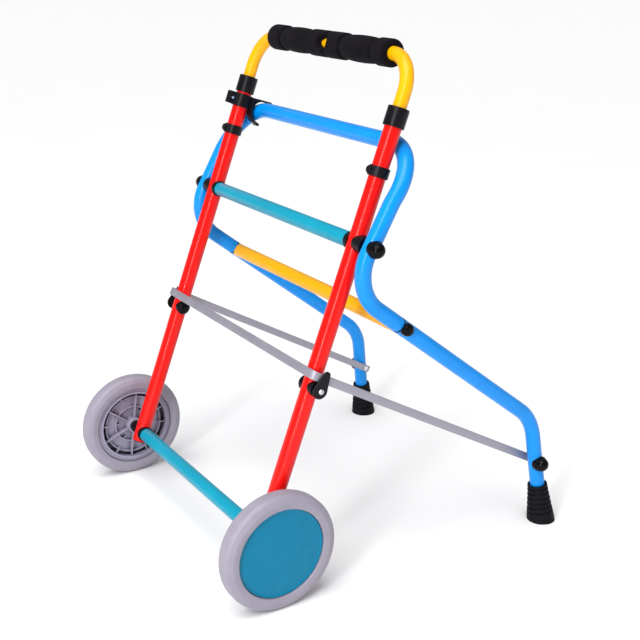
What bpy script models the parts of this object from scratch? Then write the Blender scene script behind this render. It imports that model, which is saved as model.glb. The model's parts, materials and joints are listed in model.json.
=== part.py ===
"""Folding wheeled walking frame for a small child, as an assembly of separate pieces.

Metres, +Z up. The wheels are at the front, -Y; the rubber feet are at the back, +Y.
The origin is on the floor, under the middle of the object's box.

Two leaning uprights carry the handle, the crossbars and the wheel axle. The rear frame, a
bow and two legs, folds about the upper crossbar's bolts. A flat brace, hinged low on the
legs, drops into a bracket on each upright and keeps the frame open.
"""
import math

import bmesh
import bpy
from mathutils import Matrix, Vector
from mathutils.geometry import intersect_line_line

MM = 0.001
GAP = 0.3 * MM                      # between pieces that touch or fit together

# Front frame
AXLE_Y = -183.3 * MM                # the wheel axle, with its height the wheel's radius
WHEEL_RADIUS = 75 * MM
LEAN = math.radians(20)             # of the uprights, backwards from vertical
UPRIGHT_X = 178 * MM
UPRIGHT_RADIUS = 10.5 * MM
UPRIGHT_BORE = 8.9 * MM
# Heights along an upright, from the axle
UPRIGHT_BOTTOM = -13 * MM
BRACKET_HEIGHT = 194.5 * MM
BRACE_HEIGHT = 211 * MM
PIVOT_HEIGHT = 372 * MM
CLIP_HEIGHT = 457 * MM
LATCH_HEIGHT = 499 * MM
COLLAR_HEIGHT = 522.5 * MM
GRIP_HEIGHT = 594 * MM
UPRIGHT_TOP = 531 * MM
CROSSBAR_RADIUS = 9.5 * MM
CROSSBAR_BORE = 7.5 * MM
BOLT_RADIUS = 3 * MM

# Handle
HANDLE_RADIUS = 8.5 * MM
HANDLE_BORE = 7 * MM
HANDLE_BOTTOM = 384 * MM            # along the upright; clear of the pivot bolt below it
HANDLE_BEND = 43 * MM
GRIP_RADIUS = 17 * MM
INNER_CUFF = 36 * MM                # along each half of the grip, from the middle
OUTER_CUFF = 25 * MM

# Wheels
WHEEL_X = 215 * MM
TYRE_INNER = 57.5 * MM
TYRE_HALF_WIDTH = 13.5 * MM
AXLE_RADIUS = 4 * MM

# Rear frame, in the side view: distances back from the axle and up from the floor
REAR_X = 208 * MM
REAR_RADIUS = 10 * MM
REAR_BORE = 8.5 * MM
BOW_TOP = (196 * MM, 532 * MM)
BOW_CORNER_RADIUS = 62 * MM
BOW_LEAN = math.radians(28.9)            # of the side tubes at the pivot, backwards from vertical
BOW_SHOULDER_RISE = 56.6 * MM            # from the pivot, along the side tube
BOW_SHOULDER_RADIUS = 60 * MM
BOW_ELBOW_RADIUS = 55 * MM
JOINT_BOLT = (176 * MM, 320.5 * MM)      # also holds the rear crossbar
JOINT_SEAM_OFFSET = 8 * MM               # from the bolt up the tube to the seam
LEG_KNEE = (398.5 * MM, 152.8 * MM)
LEG_KNEE_RADIUS = 65 * MM
FOOT = (421.5 * MM, 0.0)
FOOT_X = 218 * MM
BRACE_PIN = (408.2 * MM, 88.5 * MM)

# Flat brace
BRACE_WIDTH = 10.5 * MM
BRACE_THICKNESS = 3 * MM
BRACE_FRONT_X = 195.5 * MM
BRACE_REAR_X = 198 * MM
BRACE_STANDOFF = 13.4 * MM          # of the front bar, ahead of an upright's axis
BRACE_BEND = 7 * MM
BRACE_OVERHANG = 9 * MM             # of each arm, past its pin

# Rubber feet
FOOT_TOP_RADIUS = 13.2 * MM
FOOT_BASE_RADIUS = 19.3 * MM
FOOT_LENGTH = 56 * MM

ALONG_X = Vector((1, 0, 0))
ALONG_UPRIGHT = Vector((0, math.sin(LEAN), math.cos(LEAN)))
BEHIND_UPRIGHT = Vector((0, math.cos(LEAN), -math.sin(LEAN)))
SIDES = {"left": -1, "right": 1}

RED = ("red_paint", (0.93, 0.02, 0.02), 0.25, 0.0)
BLUE = ("blue_paint", (0.0, 0.25, 0.85), 0.25, 0.0)
YELLOW = ("yellow_paint", (1.0, 0.6, 0.0), 0.25, 0.0)
TEAL = ("teal_paint", (0.02, 0.4, 0.52), 0.3, 0.0)
BLACK = ("black_plastic", (0.02, 0.02, 0.025), 0.4, 0.0)
FOAM = ("black_foam", (0.02, 0.02, 0.02), 0.95, 0.0)
RUBBER = ("black_rubber", (0.03, 0.03, 0.03), 0.8, 0.0)
STEEL = ("zinc_steel", (0.6, 0.6, 0.62), 0.35, 1.0)
ALUMINIUM = ("aluminium", (0.62, 0.6, 0.65), 0.4, 1.0)
WHEEL_GREY = ("wheel_grey", (0.5, 0.47, 0.58), 0.5, 0.0)
DISC_TEAL = ("disc_teal", (0.0, 0.25, 0.35), 0.35, 0.0)


# ---------------------------------------------------------------- places

def on_upright(height, behind=0.0, x=0.0):
    """A point at a height along the uprights' axes and a distance behind them."""
    axle = Vector((x, AXLE_Y, WHEEL_RADIUS))
    return axle + ALONG_UPRIGHT * height + BEHIND_UPRIGHT * behind


def side_point(side_view, x=0.0):
    """A point of the rear frame from its place in the side view."""
    back, up = side_view
    return Vector((x, AXLE_Y + back, up))


def leg_centre(up):
    """The axis of the right leg's lower length, at a height above the floor."""
    knee = side_point(LEG_KNEE, REAR_X)
    foot = side_point(FOOT, FOOT_X)
    return foot.lerp(knee, up / knee.z)


DIAGONAL = (side_point(LEG_KNEE) - side_point(JOINT_BOLT)).normalized()
SEAM = side_point(JOINT_BOLT) - DIAGONAL * JOINT_SEAM_OFFSET
PIVOT = on_upright(PIVOT_HEIGHT)
AXLE = on_upright(0.0)
BOW_HEADING = Vector((0, math.sin(BOW_LEAN), math.cos(BOW_LEAN)))
BOW_ELBOW = intersect_line_line(PIVOT, PIVOT + BOW_HEADING, SEAM, SEAM + DIAGONAL)[0]
BOW_SHOULDER = PIVOT + BOW_HEADING * BOW_SHOULDER_RISE


# ---------------------------------------------------------------- objects and materials

def clear_scene():
    for old in list(bpy.data.objects):
        bpy.data.objects.remove(old)


def material(finish):
    name, colour, roughness, metallic = finish
    found = bpy.data.materials.get(name)
    if found:
        return found
    made = bpy.data.materials.new(name)
    made.use_nodes = True
    shader = made.node_tree.nodes["Principled BSDF"]
    shader.inputs["Base Color"].default_value = (*colour, 1.0)
    shader.inputs["Roughness"].default_value = roughness
    shader.inputs["Metallic"].default_value = metallic
    return made


def as_object(name, bm, finish=None):
    """An object from a closed bmesh; without a finish it is a helper that isn't built."""
    bmesh.ops.recalc_face_normals(bm, faces=bm.faces)
    mesh = bpy.data.meshes.new(name)
    bm.to_mesh(mesh)
    bm.free()
    mesh.shade_smooth()
    mesh.set_sharp_from_angle(angle=math.radians(35))
    made = bpy.data.objects.new(name, mesh)
    bpy.context.scene.collection.objects.link(made)
    if finish:
        mesh.materials.append(material(finish))
    else:
        made.hide_render = True
        made.display_type = "WIRE"
    return made


def combine(target, helper, operation):
    step = target.modifiers.new(helper.name, "BOOLEAN")
    step.operation = operation
    step.object = helper
    return target


def cut(target, helper):
    return combine(target, helper, "DIFFERENCE")


def join(target, helper):
    return combine(target, helper, "UNION")


# ---------------------------------------------------------------- shapes

def aligned(origin, direction):
    """The matrix that stands a shape made along +Z on an origin, along a direction."""
    turn = Vector((0, 0, 1)).rotation_difference(direction)
    return Matrix.Translation(origin) @ turn.to_matrix().to_4x4()


def turned(profile, sides, origin, direction):
    """A closed body of revolution about a direction; the profile is (radius, distance) pairs.

    The profile is a closed loop, apart from ends on the axis, which become points.
    """
    bm = bmesh.new()
    place = aligned(origin, direction)
    rings = []
    for radius, distance in profile:
        count = sides if radius > 0 else 1
        angles = [2 * math.pi * k / sides for k in range(count)]
        rings.append([bm.verts.new(place @ Vector((radius * math.cos(a), radius * math.sin(a), distance)))
                      for a in angles])
    on_axis = [len(ring) == 1 for ring in rings]
    last = len(rings) if not any(on_axis) else len(rings) - 1
    for i in range(last):
        bridge_rings(bm, rings[i], rings[(i + 1) % len(rings)])
    return bm


def bridge_rings(bm, first, second):
    """Faces between two rings of vertices, either of which may be a single point."""
    count = max(len(first), len(second))
    for k in range(count):
        corners = [first[k % len(first)], first[(k + 1) % len(first)],
                   second[(k + 1) % len(second)], second[k % len(second)]]
        bm.faces.new(list(dict.fromkeys(corners)))


def rod(radius, start, end, sides=16):
    """A solid cylinder between two points."""
    length = (end - start).length
    profile = [(0, 0), (radius, 0), (radius, length), (0, length)]
    return turned(profile, sides, start, (end - start).normalized())


def sleeve(outer, bore, start, end, sides=16):
    """An open-ended tube between two points."""
    length = (end - start).length
    profile = [(bore, 0), (outer, 0), (outer, length), (bore, length)]
    return turned(profile, sides, start, (end - start).normalized())


def rounded_path(corners, steps=5):
    """Points along straight runs joined by arcs; a corner is (point, bend radius)."""
    points = [corners[0][0]]
    for i in range(1, len(corners) - 1):
        corner, radius = corners[i]
        towards = (corners[i - 1][0] - corner).normalized()
        onwards = (corners[i + 1][0] - corner).normalized()
        half_turn = (math.pi - towards.angle(onwards)) / 2
        tangent = radius * math.tan(half_turn)
        start = corner + towards * tangent
        centre = corner + (towards + onwards).normalized() * (radius / math.cos(half_turn))
        spoke = start - centre
        axis = towards.cross(onwards).normalized()
        count = max(2, round(steps * 2 * half_turn / (math.pi / 2)))
        for k in range(count + 1):
            turn = Matrix.Rotation(-2 * half_turn * k / count, 3, axis)
            points.append(centre + turn @ spoke)
    points.append(corners[-1][0])
    return points


def swept(points, section):
    """Rings that carry a flat section along a path; returns the bmesh and its rings.

    The section is (across, up) pairs, across being square to the path and to the path's plane.
    """
    bm = bmesh.new()
    rings = []
    heading = (points[1] - points[0]).normalized()
    up = heading.orthogonal().normalized()
    for i, point in enumerate(points):
        before = points[max(i - 1, 0)]
        after = points[min(i + 1, len(points) - 1)]
        tangent = ((after - point).normalized() + (point - before).normalized()).normalized()
        up = (heading.rotation_difference(tangent) @ up).normalized()
        heading = tangent
        across = up.cross(heading)
        rings.append([bm.verts.new(point + across * a + up * b) for a, b in section])
    return bm, rings


def circle(radius, sides):
    return [(radius * math.cos(2 * math.pi * k / sides), radius * math.sin(2 * math.pi * k / sides))
            for k in range(sides)]


def bent_tube(corners, outer, bore, sides=12, steps=5):
    """An open-ended tube along a rounded path."""
    points = rounded_path(corners, steps)
    bm, skin = swept(points, circle(outer, sides) + circle(bore, sides))
    outside = [ring[:sides] for ring in skin]
    inside = [ring[sides:] for ring in skin]
    for wall in (outside, inside):
        for first, second in zip(wall, wall[1:]):
            bridge_rings(bm, first, second)
    for end in (0, -1):
        bridge_rings(bm, outside[end], inside[end])
    return bm


def plate(outline, x_from, x_to):
    """A flat outline of (y, z) vectors, extruded along X."""
    bm = bmesh.new()
    near = [bm.verts.new(Vector((x_from, p.y, p.z))) for p in outline]
    far = [bm.verts.new(Vector((x_to, p.y, p.z))) for p in outline]
    bm.faces.new(near)
    bm.faces.new(far)
    bridge_rings(bm, near, far)
    return bm


def box(centre, size, direction):
    """A box whose third dimension runs along a direction in the YZ plane."""
    bm = bmesh.new()
    across = direction.cross(ALONG_X).normalized()
    frame = Matrix((ALONG_X, -across, direction)).transposed().to_4x4()
    bmesh.ops.create_cube(bm, size=1.0, matrix=Matrix.Translation(centre) @ frame @ Matrix.Diagonal((*size, 1)))
    return bm


def arc(centre, radius, start, end, steps):
    """Points in the uprights' own side view: start and end are angles from behind, upwards."""
    points = []
    for k in range(steps + 1):
        angle = math.radians(start + (end - start) * k / steps)
        points.append(centre + BEHIND_UPRIGHT * (radius * math.cos(angle)) + ALONG_UPRIGHT * (radius * math.sin(angle)))
    return points


# ---------------------------------------------------------------- front frame

def drill(target, radius, start, end, label):
    """A hole right through the target, or into it, between two points."""
    return cut(target, as_object(f"{target.name}_{label}", rod(radius, start, end, 12)))


def drill_along_x(target, radius, centre, x_from, x_to, label):
    start = Vector((x_from, centre.y, centre.z))
    end = Vector((x_to, centre.y, centre.z))
    return drill(target, radius, start, end, label)


def upright(side, sign):
    x = sign * UPRIGHT_X
    body = as_object(f"front_upright_{side}",
                     sleeve(UPRIGHT_RADIUS, UPRIGHT_BORE, on_upright(UPRIGHT_BOTTOM, 0, x),
                            on_upright(UPRIGHT_TOP, 0, x)), RED)
    reach = 14 * MM
    for label, height, radius in (("axle_hole", 0.0, AXLE_RADIUS), ("bracket_hole", BRACKET_HEIGHT, 2.5 * MM),
                                  ("pivot_hole", PIVOT_HEIGHT, BOLT_RADIUS)):
        drill_along_x(body, radius + GAP, on_upright(height), x - reach, x + reach, label)
    drill(body, 2.7 * MM, on_upright(CLIP_HEIGHT, -reach, x), on_upright(CLIP_HEIGHT, -5 * MM, x), "pin_hole")


def upright_plug(side, sign):
    """The plastic plug in an upright's lower end."""
    x = sign * UPRIGHT_X
    length = 8 * MM
    flange = 2 * MM
    profile = [(0, 0), (8 * MM, 0), (UPRIGHT_RADIUS, flange - GAP), (8.5 * MM, flange - GAP),
               (8.4 * MM, length), (0, length)]
    as_object(f"upright_plug_{side}",
              turned(profile, 16, on_upright(UPRIGHT_BOTTOM - flange, 0, x), ALONG_UPRIGHT), BLACK)


def upright_cutter(name, sign, clearance=GAP):
    """The space that an upright takes, for pieces saddled on it."""
    x = sign * UPRIGHT_X
    return as_object(name, rod(UPRIGHT_RADIUS + clearance, on_upright(-0.03, 0, x),
                               on_upright(0.56, 0, x), 20))


def crossbar(name, centre, half_length, finish, solid_end):
    """A tube along X with plugged ends that take a bolt, or open ones when solid_end is 0."""
    start = Vector((-half_length, centre.y, centre.z))
    thread = BOLT_RADIUS + GAP
    length = 2 * half_length
    profile = [(CROSSBAR_RADIUS, 0), (CROSSBAR_RADIUS, length)]
    if solid_end:
        profile += [(thread, length), (thread, length - solid_end), (CROSSBAR_BORE, length - solid_end),
                    (CROSSBAR_BORE, solid_end), (thread, solid_end), (thread, 0)]
    else:
        profile += [(CROSSBAR_BORE, length), (CROSSBAR_BORE, 0)]
    return as_object(name, turned(profile, 16, start, ALONG_X), finish)


def front_crossbars(spaces):
    """The two teal bars and the saddle washers between their ends and the uprights."""
    tube_face = UPRIGHT_X - UPRIGHT_RADIUS
    washer_end = tube_face - 3 * MM
    crossbar("upper_crossbar", PIVOT, washer_end, TEAL, 22 * MM)
    crossbar("lower_crossbar", AXLE, washer_end, TEAL, 0)
    for side, sign in SIDES.items():
        for name, centre, bore in (("crossbar_washer", PIVOT, BOLT_RADIUS), ("axle_washer", AXLE, AXLE_RADIUS)):
            saddle(f"{name}_{side}", sign, centre, tube_face - 2.7 * MM, tube_face + 4 * MM, 11 * MM, bore + GAP,
                   spaces[side])


def saddle(name, sign, centre, x_from, x_to, radius, bore, space, finish=BLACK):
    """A round spacer along X whose one side is hollowed to sit on a tube."""
    body = as_object(name, sleeve(radius, bore, Vector((sign * x_from, centre.y, centre.z)),
                                  Vector((sign * x_to, centre.y, centre.z)), 16), finish)
    return cut(body, space)


def pivot_pieces(side, sign, upright_space, bow_space):
    saddle(f"pivot_spacer_{side}", sign, PIVOT, UPRIGHT_X + 4 * MM, REAR_X - REAR_RADIUS - GAP, 11 * MM,
           BOLT_RADIUS + GAP, upright_space)
    as_object(f"pivot_bolt_{side}", rod(BOLT_RADIUS, PIVOT + ALONG_X * sign * 146 * MM,
                                        PIVOT + ALONG_X * sign * 222 * MM, 12), STEEL)
    dome_cap(f"pivot_cap_{side}", sign, PIVOT, REAR_X, 223 * MM, bow_space)


def dome_cap(name, sign, centre, tube_x, bolt_end, space):
    """A saddle washer with a ball-shaped cap over a bolt's end."""
    dome = 9.5 * MM
    flange = 10.5 * MM
    start = tube_x + 4.5 * MM
    rim = tube_x + 11.5 * MM
    ball = [(dome * math.cos(a), rim + 1 * MM + dome * math.sin(a) - start)
            for a in (math.radians(18 * k) for k in range(6))]
    ball[-1] = (0, ball[-1][1])
    bore = BOLT_RADIUS + GAP
    profile = [(0, bolt_end - start), (bore, bolt_end - start), (bore, 0), (flange, 0), (flange, rim - start)] + ball
    origin = Vector((sign * start, centre.y, centre.z))
    cap = as_object(name, turned(profile, 16, origin, ALONG_X * sign), BLACK)
    return cut(cap, space)


# ---------------------------------------------------------------- wheels

def wheel(side, sign):
    axis = ALONG_X * sign
    centre = AXLE + axis * WHEEL_X
    bore = AXLE_RADIUS + GAP
    half = TYRE_HALF_WIDTH
    tread = [(TYRE_INNER, -half + 1.5 * MM), (60 * MM, -half), (68 * MM, -half), (73 * MM, -half + 3 * MM),
             (WHEEL_RADIUS, -5 * MM), (WHEEL_RADIUS, 5 * MM), (73 * MM, half - 3 * MM), (68 * MM, half),
             (60 * MM, half), (TYRE_INNER, half - 1.5 * MM)]
    as_object(f"tyre_{side}", turned(tread, 36, centre, axis), WHEEL_GREY)
    rim = TYRE_INNER - GAP
    hub = [(bore, -12 * MM), (11 * MM, -12 * MM), (11 * MM, 1 * MM), (49.5 * MM, 1 * MM), (49.5 * MM, -11 * MM),
           (rim, -11 * MM), (rim, 7 * MM), (49.5 * MM, 7 * MM), (49.5 * MM, 4 * MM), (bore, 4 * MM)]
    as_object(f"wheel_hub_{side}", turned(hub, 24, centre, axis), WHEEL_GREY)
    cover = 57 * MM
    disc = [(0, 7.3 * MM), (cover, 7.3 * MM), (cover, 9 * MM), (54 * MM, 10 * MM), (0, 10.5 * MM)]
    as_object(f"hub_disc_{side}", turned(disc, 32, centre, axis), DISC_TEAL)
    as_object(f"wheel_retainer_{side}", sleeve(8 * MM, bore, centre + axis * 4.3 * MM, centre + axis * 6.6 * MM, 12),
              STEEL)
    as_object(f"wheel_spacer_{side}", sleeve(8.5 * MM, bore, AXLE + axis * (UPRIGHT_X + UPRIGHT_RADIUS + GAP),
                                             centre - axis * 12.3 * MM, 16), BLACK)


def axle():
    reach = WHEEL_X + 6.6 * MM
    as_object("axle", rod(AXLE_RADIUS, AXLE - ALONG_X * reach, AXLE + ALONG_X * reach, 16), STEEL)


# ---------------------------------------------------------------- handle

def handle():
    x = UPRIGHT_X
    corners = [(on_upright(HANDLE_BOTTOM, 0, -x), 0), (on_upright(GRIP_HEIGHT, 0, -x), HANDLE_BEND),
               (on_upright(GRIP_HEIGHT, 0, x), HANDLE_BEND), (on_upright(HANDLE_BOTTOM, 0, x), 0)]
    as_object("handle_tube", bent_tube(corners, HANDLE_RADIUS, HANDLE_BORE, 14), YELLOW)


def grip(side, sign):
    """One half of the foam grip: a cuff at each end and a barrelled middle."""
    middle_gap = 1.5 * MM
    end = UPRIGHT_X - HANDLE_BEND + 0.5 * MM
    length = end - middle_gap
    bore = HANDLE_RADIUS + GAP
    neck = GRIP_RADIUS - 3.3 * MM
    ease = 2 * MM
    inner_cuff = [(GRIP_RADIUS - ease, 0), (GRIP_RADIUS, ease), (GRIP_RADIUS, INNER_CUFF - ease), (neck, INNER_CUFF)]
    outer_cuff = [(neck, length - OUTER_CUFF), (GRIP_RADIUS, length - OUTER_CUFF + ease),
                  (GRIP_RADIUS, length - ease), (GRIP_RADIUS - ease, length)]
    run = length - INNER_CUFF - OUTER_CUFF
    bulge = 2.8 * MM
    barrel = [(neck + bulge * math.sin(math.pi * k / 4), INNER_CUFF + run * k / 4) for k in range(1, 4)]
    profile = [(bore, 0)] + inner_cuff + barrel + outer_cuff + [(bore, length)]
    as_object(f"grip_{side}", turned(profile, 16, on_upright(GRIP_HEIGHT) + ALONG_X * sign * middle_gap,
                                     ALONG_X * sign), FOAM)


def collar(side, sign):
    """The sleeve on an upright's top, which guides the handle tube."""
    outer = 13 * MM
    half = 11.5 * MM
    lip = UPRIGHT_TOP - COLLAR_HEIGHT + GAP
    tube = UPRIGHT_RADIUS + GAP
    slide = HANDLE_RADIUS + GAP
    profile = [(tube, -half), (outer, -half), (outer, half - 1 * MM), (outer - 1 * MM, half), (slide, half),
               (slide, lip), (tube, lip)]
    as_object(f"top_collar_{side}", turned(profile, 16, on_upright(COLLAR_HEIGHT, 0, sign * UPRIGHT_X), ALONG_UPRIGHT),
              BLACK)


def height_clip(side, sign):
    """The band with a nose, and the sprung pin that locks the handle's height."""
    x = sign * UPRIGHT_X
    half = 6.3 * MM
    centre = on_upright(CLIP_HEIGHT, 0, x)
    band = as_object(f"height_clip_{side}", sleeve(12.6 * MM, UPRIGHT_RADIUS + GAP, centre - ALONG_UPRIGHT * half,
                                                   centre + ALONG_UPRIGHT * half), BLACK)
    nose = as_object(f"height_clip_{side}_nose", rod(6 * MM, on_upright(CLIP_HEIGHT, -11.6 * MM, x),
                                                     on_upright(CLIP_HEIGHT, -14 * MM, x), 12))
    join(band, nose)
    drill(band, 2.7 * MM, on_upright(CLIP_HEIGHT, -18 * MM, x), on_upright(CLIP_HEIGHT, -5 * MM, x), "pin_hole")
    tip = 9.1 * MM
    head = 14.3 * MM
    profile = [(0, tip), (2.4 * MM, tip), (2.4 * MM, head), (4.4 * MM, head), (4.4 * MM, head + 1.6 * MM),
               (3.4 * MM, head + 2.7 * MM), (0, head + 3 * MM)]
    as_object(f"height_pin_{side}", turned(profile, 12, centre, -BEHIND_UPRIGHT), BLACK)


# ---------------------------------------------------------------- latch

def latch(upright_space):
    """The clamp with a hook that holds the bow's crossbar behind the left upright."""
    x = -UPRIGHT_X
    half = 9 * MM
    centre = on_upright(LATCH_HEIGHT, 0, x)
    ring = as_object("latch_clamp", sleeve(13.5 * MM, UPRIGHT_RADIUS + GAP, centre - ALONG_UPRIGHT * half,
                                           centre + ALONG_UPRIGHT * half), BLACK)
    ears = box(on_upright(LATCH_HEIGHT, -17 * MM, x), (10 * MM, 12 * MM, 2 * half - MM), ALONG_UPRIGHT)
    join(ring, as_object("latch_clamp_ears", ears))
    hook = as_object("latch_clamp_hook", plate(hook_outline(), x + 3 * MM, x + 15 * MM))
    join(ring, cut(hook, upright_space))
    slit = box(on_upright(LATCH_HEIGHT, -17 * MM, x), (2 * MM, 18 * MM, 3 * half), ALONG_UPRIGHT)
    cut(ring, as_object("latch_clamp_slit", slit))
    screw = on_upright(LATCH_HEIGHT, -17.5 * MM, x)
    drill(ring, 2.3 * MM, screw - ALONG_X * 9 * MM, screw + ALONG_X * 9 * MM, "screw_hole")
    profile = [(0, -5.2 * MM), (2 * MM, -5.2 * MM), (2 * MM, 5.3 * MM), (3.8 * MM, 5.3 * MM), (3.4 * MM, 7.5 * MM),
               (0, 7.8 * MM)]
    as_object("latch_screw", turned(profile, 12, screw, -ALONG_X), STEEL)


def hook_outline():
    """A C that opens backwards: a straight top, a short lower arm and a bead at its tip."""
    middle = 491.2 * MM
    back = 27.2 * MM
    centre = on_upright(middle, back)
    inner = 14.8 * MM
    outer = 18 * MM
    reach = 12 * MM
    flare = -8
    bead = 2.2 * MM
    top = [on_upright(middle + outer, back + reach), on_upright(LATCH_HEIGHT + 8.3 * MM, 8.7 * MM)]
    outside = arc(centre, outer, 180, 270 + flare, 6)
    inside = arc(centre, inner, 270 + flare, 90, 8)
    tip_place = arc(centre, inner + bead + 0.6 * MM, 270 + flare, 270, 1)[0] + BEHIND_UPRIGHT * 2.5 * MM
    tip = arc(tip_place, bead, 210, 480, 7)
    return top + outside + tip + inside + [inside[-1] + BEHIND_UPRIGHT * reach]


# ---------------------------------------------------------------- brace and its brackets

def bracket(side, sign, upright_space):
    """The plastic bracket that an arm of the brace rests in, its bolt and its inner cap."""
    centre = on_upright(BRACKET_HEIGHT)
    cheek_in = BRACE_FRONT_X + BRACE_THICKNESS / 2 + 0.8 * MM
    cheek_out = cheek_in + 3.5 * MM
    body = as_object(f"brace_bracket_{side}", sleeve(9.5 * MM, 2.5 * MM + GAP, centre + ALONG_X * sign * 182 * MM,
                                                     centre + ALONG_X * sign * 192.5 * MM, 14), BLACK)
    cut(body, upright_space)
    boss = sleeve(4.8 * MM, 2.5 * MM + GAP, centre + ALONG_X * sign * 191 * MM, centre + ALONG_X * sign * (cheek_in + MM), 12)
    join(body, as_object(f"brace_bracket_{side}_boss", boss))
    cheek = as_object(f"brace_bracket_{side}_cheek", plate(cheek_outline(centre), sign * cheek_in, sign * cheek_out))
    drill_along_x(cheek, 2.5 * MM + GAP, centre, sign * (cheek_in - 2 * MM), sign * (cheek_out + 2 * MM), "hole")
    join(body, cheek)
    end = cheek_out + 0.3 * MM
    profile = [(0, 162 * MM), (2.5 * MM, 162 * MM), (2.5 * MM, end), (4.8 * MM, end), (4.4 * MM, end + 2 * MM),
               (0, end + 2.6 * MM)]
    as_object(f"bracket_bolt_{side}", turned(profile, 12, centre, ALONG_X * sign), STEEL)
    inner_cap(f"bracket_cap_{side}", sign, centre, upright_space)


def cheek_outline(centre):
    """A teardrop: round about the bolt, with a straight front edge and a rounded top."""
    low = arc(centre, 10 * MM, -200, 20, 9)
    top = centre + ALONG_UPRIGHT * 19.5 * MM + BEHIND_UPRIGHT * 2.5 * MM
    return low + arc(top, 5 * MM, 15, 165, 4)


def inner_cap(name, sign, centre, space):
    """The ball-shaped cap on the inner end of a bracket's bolt."""
    dome = 9 * MM
    face = UPRIGHT_X - 4 * MM
    rim = UPRIGHT_X - UPRIGHT_RADIUS - 1.5 * MM
    ball = [(dome * math.cos(a), (face - rim) + 0.6 * dome * math.sin(a))
            for a in (math.radians(18 * k) for k in range(6))]
    ball[-1] = (0, ball[-1][1])
    bore = 2.5 * MM + GAP
    depth = face - 161.5 * MM
    profile = [(0, depth), (bore, depth), (bore, 0), (9.8 * MM, 0), (9.8 * MM, face - rim)] + ball
    cap = as_object(name, turned(profile, 16, centre + ALONG_X * sign * face, -ALONG_X * sign), BLACK)
    cut(cap, space)


def brace():
    """The flat bar: a front run across both uprights and an arm back to each leg."""
    pin = side_point(BRACE_PIN)
    front = on_upright(BRACE_HEIGHT, -BRACE_STANDOFF)
    backwards = (pin - front).normalized()
    end = pin + backwards * BRACE_OVERHANG
    corners = [(end + ALONG_X * -BRACE_REAR_X, 0), (front + ALONG_X * -BRACE_FRONT_X, BRACE_BEND),
               (front + ALONG_X * BRACE_FRONT_X, BRACE_BEND), (end + ALONG_X * BRACE_REAR_X, 0)]
    points = rounded_path(corners, 5)
    width = ALONG_X.cross(backwards).normalized()
    bm = bmesh.new()
    rings = []
    for i, point in enumerate(points):
        tangent = (points[min(i + 1, len(points) - 1)] - points[max(i - 1, 0)]).normalized()
        through = tangent.cross(width).normalized() * BRACE_THICKNESS / 2
        edge = width * BRACE_WIDTH / 2
        rings.append([bm.verts.new(point + a * through + b * edge) for a, b in ((-1, -1), (1, -1), (1, 1), (-1, 1))])
    for first, second in zip(rings, rings[1:]):
        bridge_rings(bm, first, second)
    bm.faces.new(rings[0])
    bm.faces.new(rings[-1])
    body = as_object("brace", bm, ALUMINIUM)
    for side, sign in SIDES.items():
        drill_along_x(body, BOLT_RADIUS + GAP, pin, sign * 190 * MM, sign * 206 * MM, side)


# ---------------------------------------------------------------- rear frame

def rear_bow():
    """The crossbar behind the uprights and the S-bent tubes down to the leg joints."""
    corners = []
    for sign in (-1, 1):
        x = sign * REAR_X
        across = ALONG_X * x
        run = [(SEAM + across, 0), (BOW_ELBOW + across, BOW_ELBOW_RADIUS),
               (BOW_SHOULDER + across, BOW_SHOULDER_RADIUS), (side_point(BOW_TOP, x), BOW_CORNER_RADIUS)]
        corners += run if sign < 0 else run[::-1]
    body = as_object("rear_bow", bent_tube(corners, REAR_RADIUS, REAR_BORE), BLUE)
    for side, sign in SIDES.items():
        x = sign * REAR_X
        drill_along_x(body, BOLT_RADIUS + GAP, PIVOT, x - 14 * MM, x + 14 * MM, side)


def leg_path(sign):
    start = SEAM + DIAGONAL * 2.4 * MM
    return [(Vector((sign * REAR_X, start.y, start.z)), 0), (side_point(LEG_KNEE, sign * REAR_X), LEG_KNEE_RADIUS),
            (mirrored(leg_centre(13 * MM), sign), 0)]


def mirrored(point, sign):
    return Vector((sign * point.x, point.y, point.z))


def leg_space(name, sign, clearance=GAP):
    """The space of a leg's lower length, for the pieces saddled on it."""
    return as_object(name, rod(REAR_RADIUS + clearance, mirrored(leg_centre(30 * MM), sign),
                               mirrored(leg_centre(150 * MM), sign), 20))


def diagonal_space(name, sign, clearance=GAP):
    """The space of a rear tube about its joint."""
    centre = side_point(JOINT_BOLT, sign * REAR_X)
    return as_object(name, rod(REAR_RADIUS + clearance, centre - DIAGONAL * 0.04, centre + DIAGONAL * 0.04, 20))


def bow_space(name, sign):
    """The space of a bow's side tube about the pivot."""
    centre = PIVOT + ALONG_X * sign * REAR_X
    reach = BOW_HEADING * 30 * MM
    return as_object(name, rod(REAR_RADIUS + GAP, centre - reach, centre + reach, 20))


def leg(side, sign):
    x = sign * REAR_X
    body = as_object(f"rear_leg_{side}", bent_tube(leg_path(sign), REAR_RADIUS, REAR_BORE), BLUE)
    drill_along_x(body, 2.5 * MM + GAP, side_point(JOINT_BOLT), x - 14 * MM, x + 14 * MM, "joint_hole")
    drill_along_x(body, BOLT_RADIUS + GAP, side_point(BRACE_PIN), x - 20 * MM, x + 20 * MM, "pin_hole")


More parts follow.
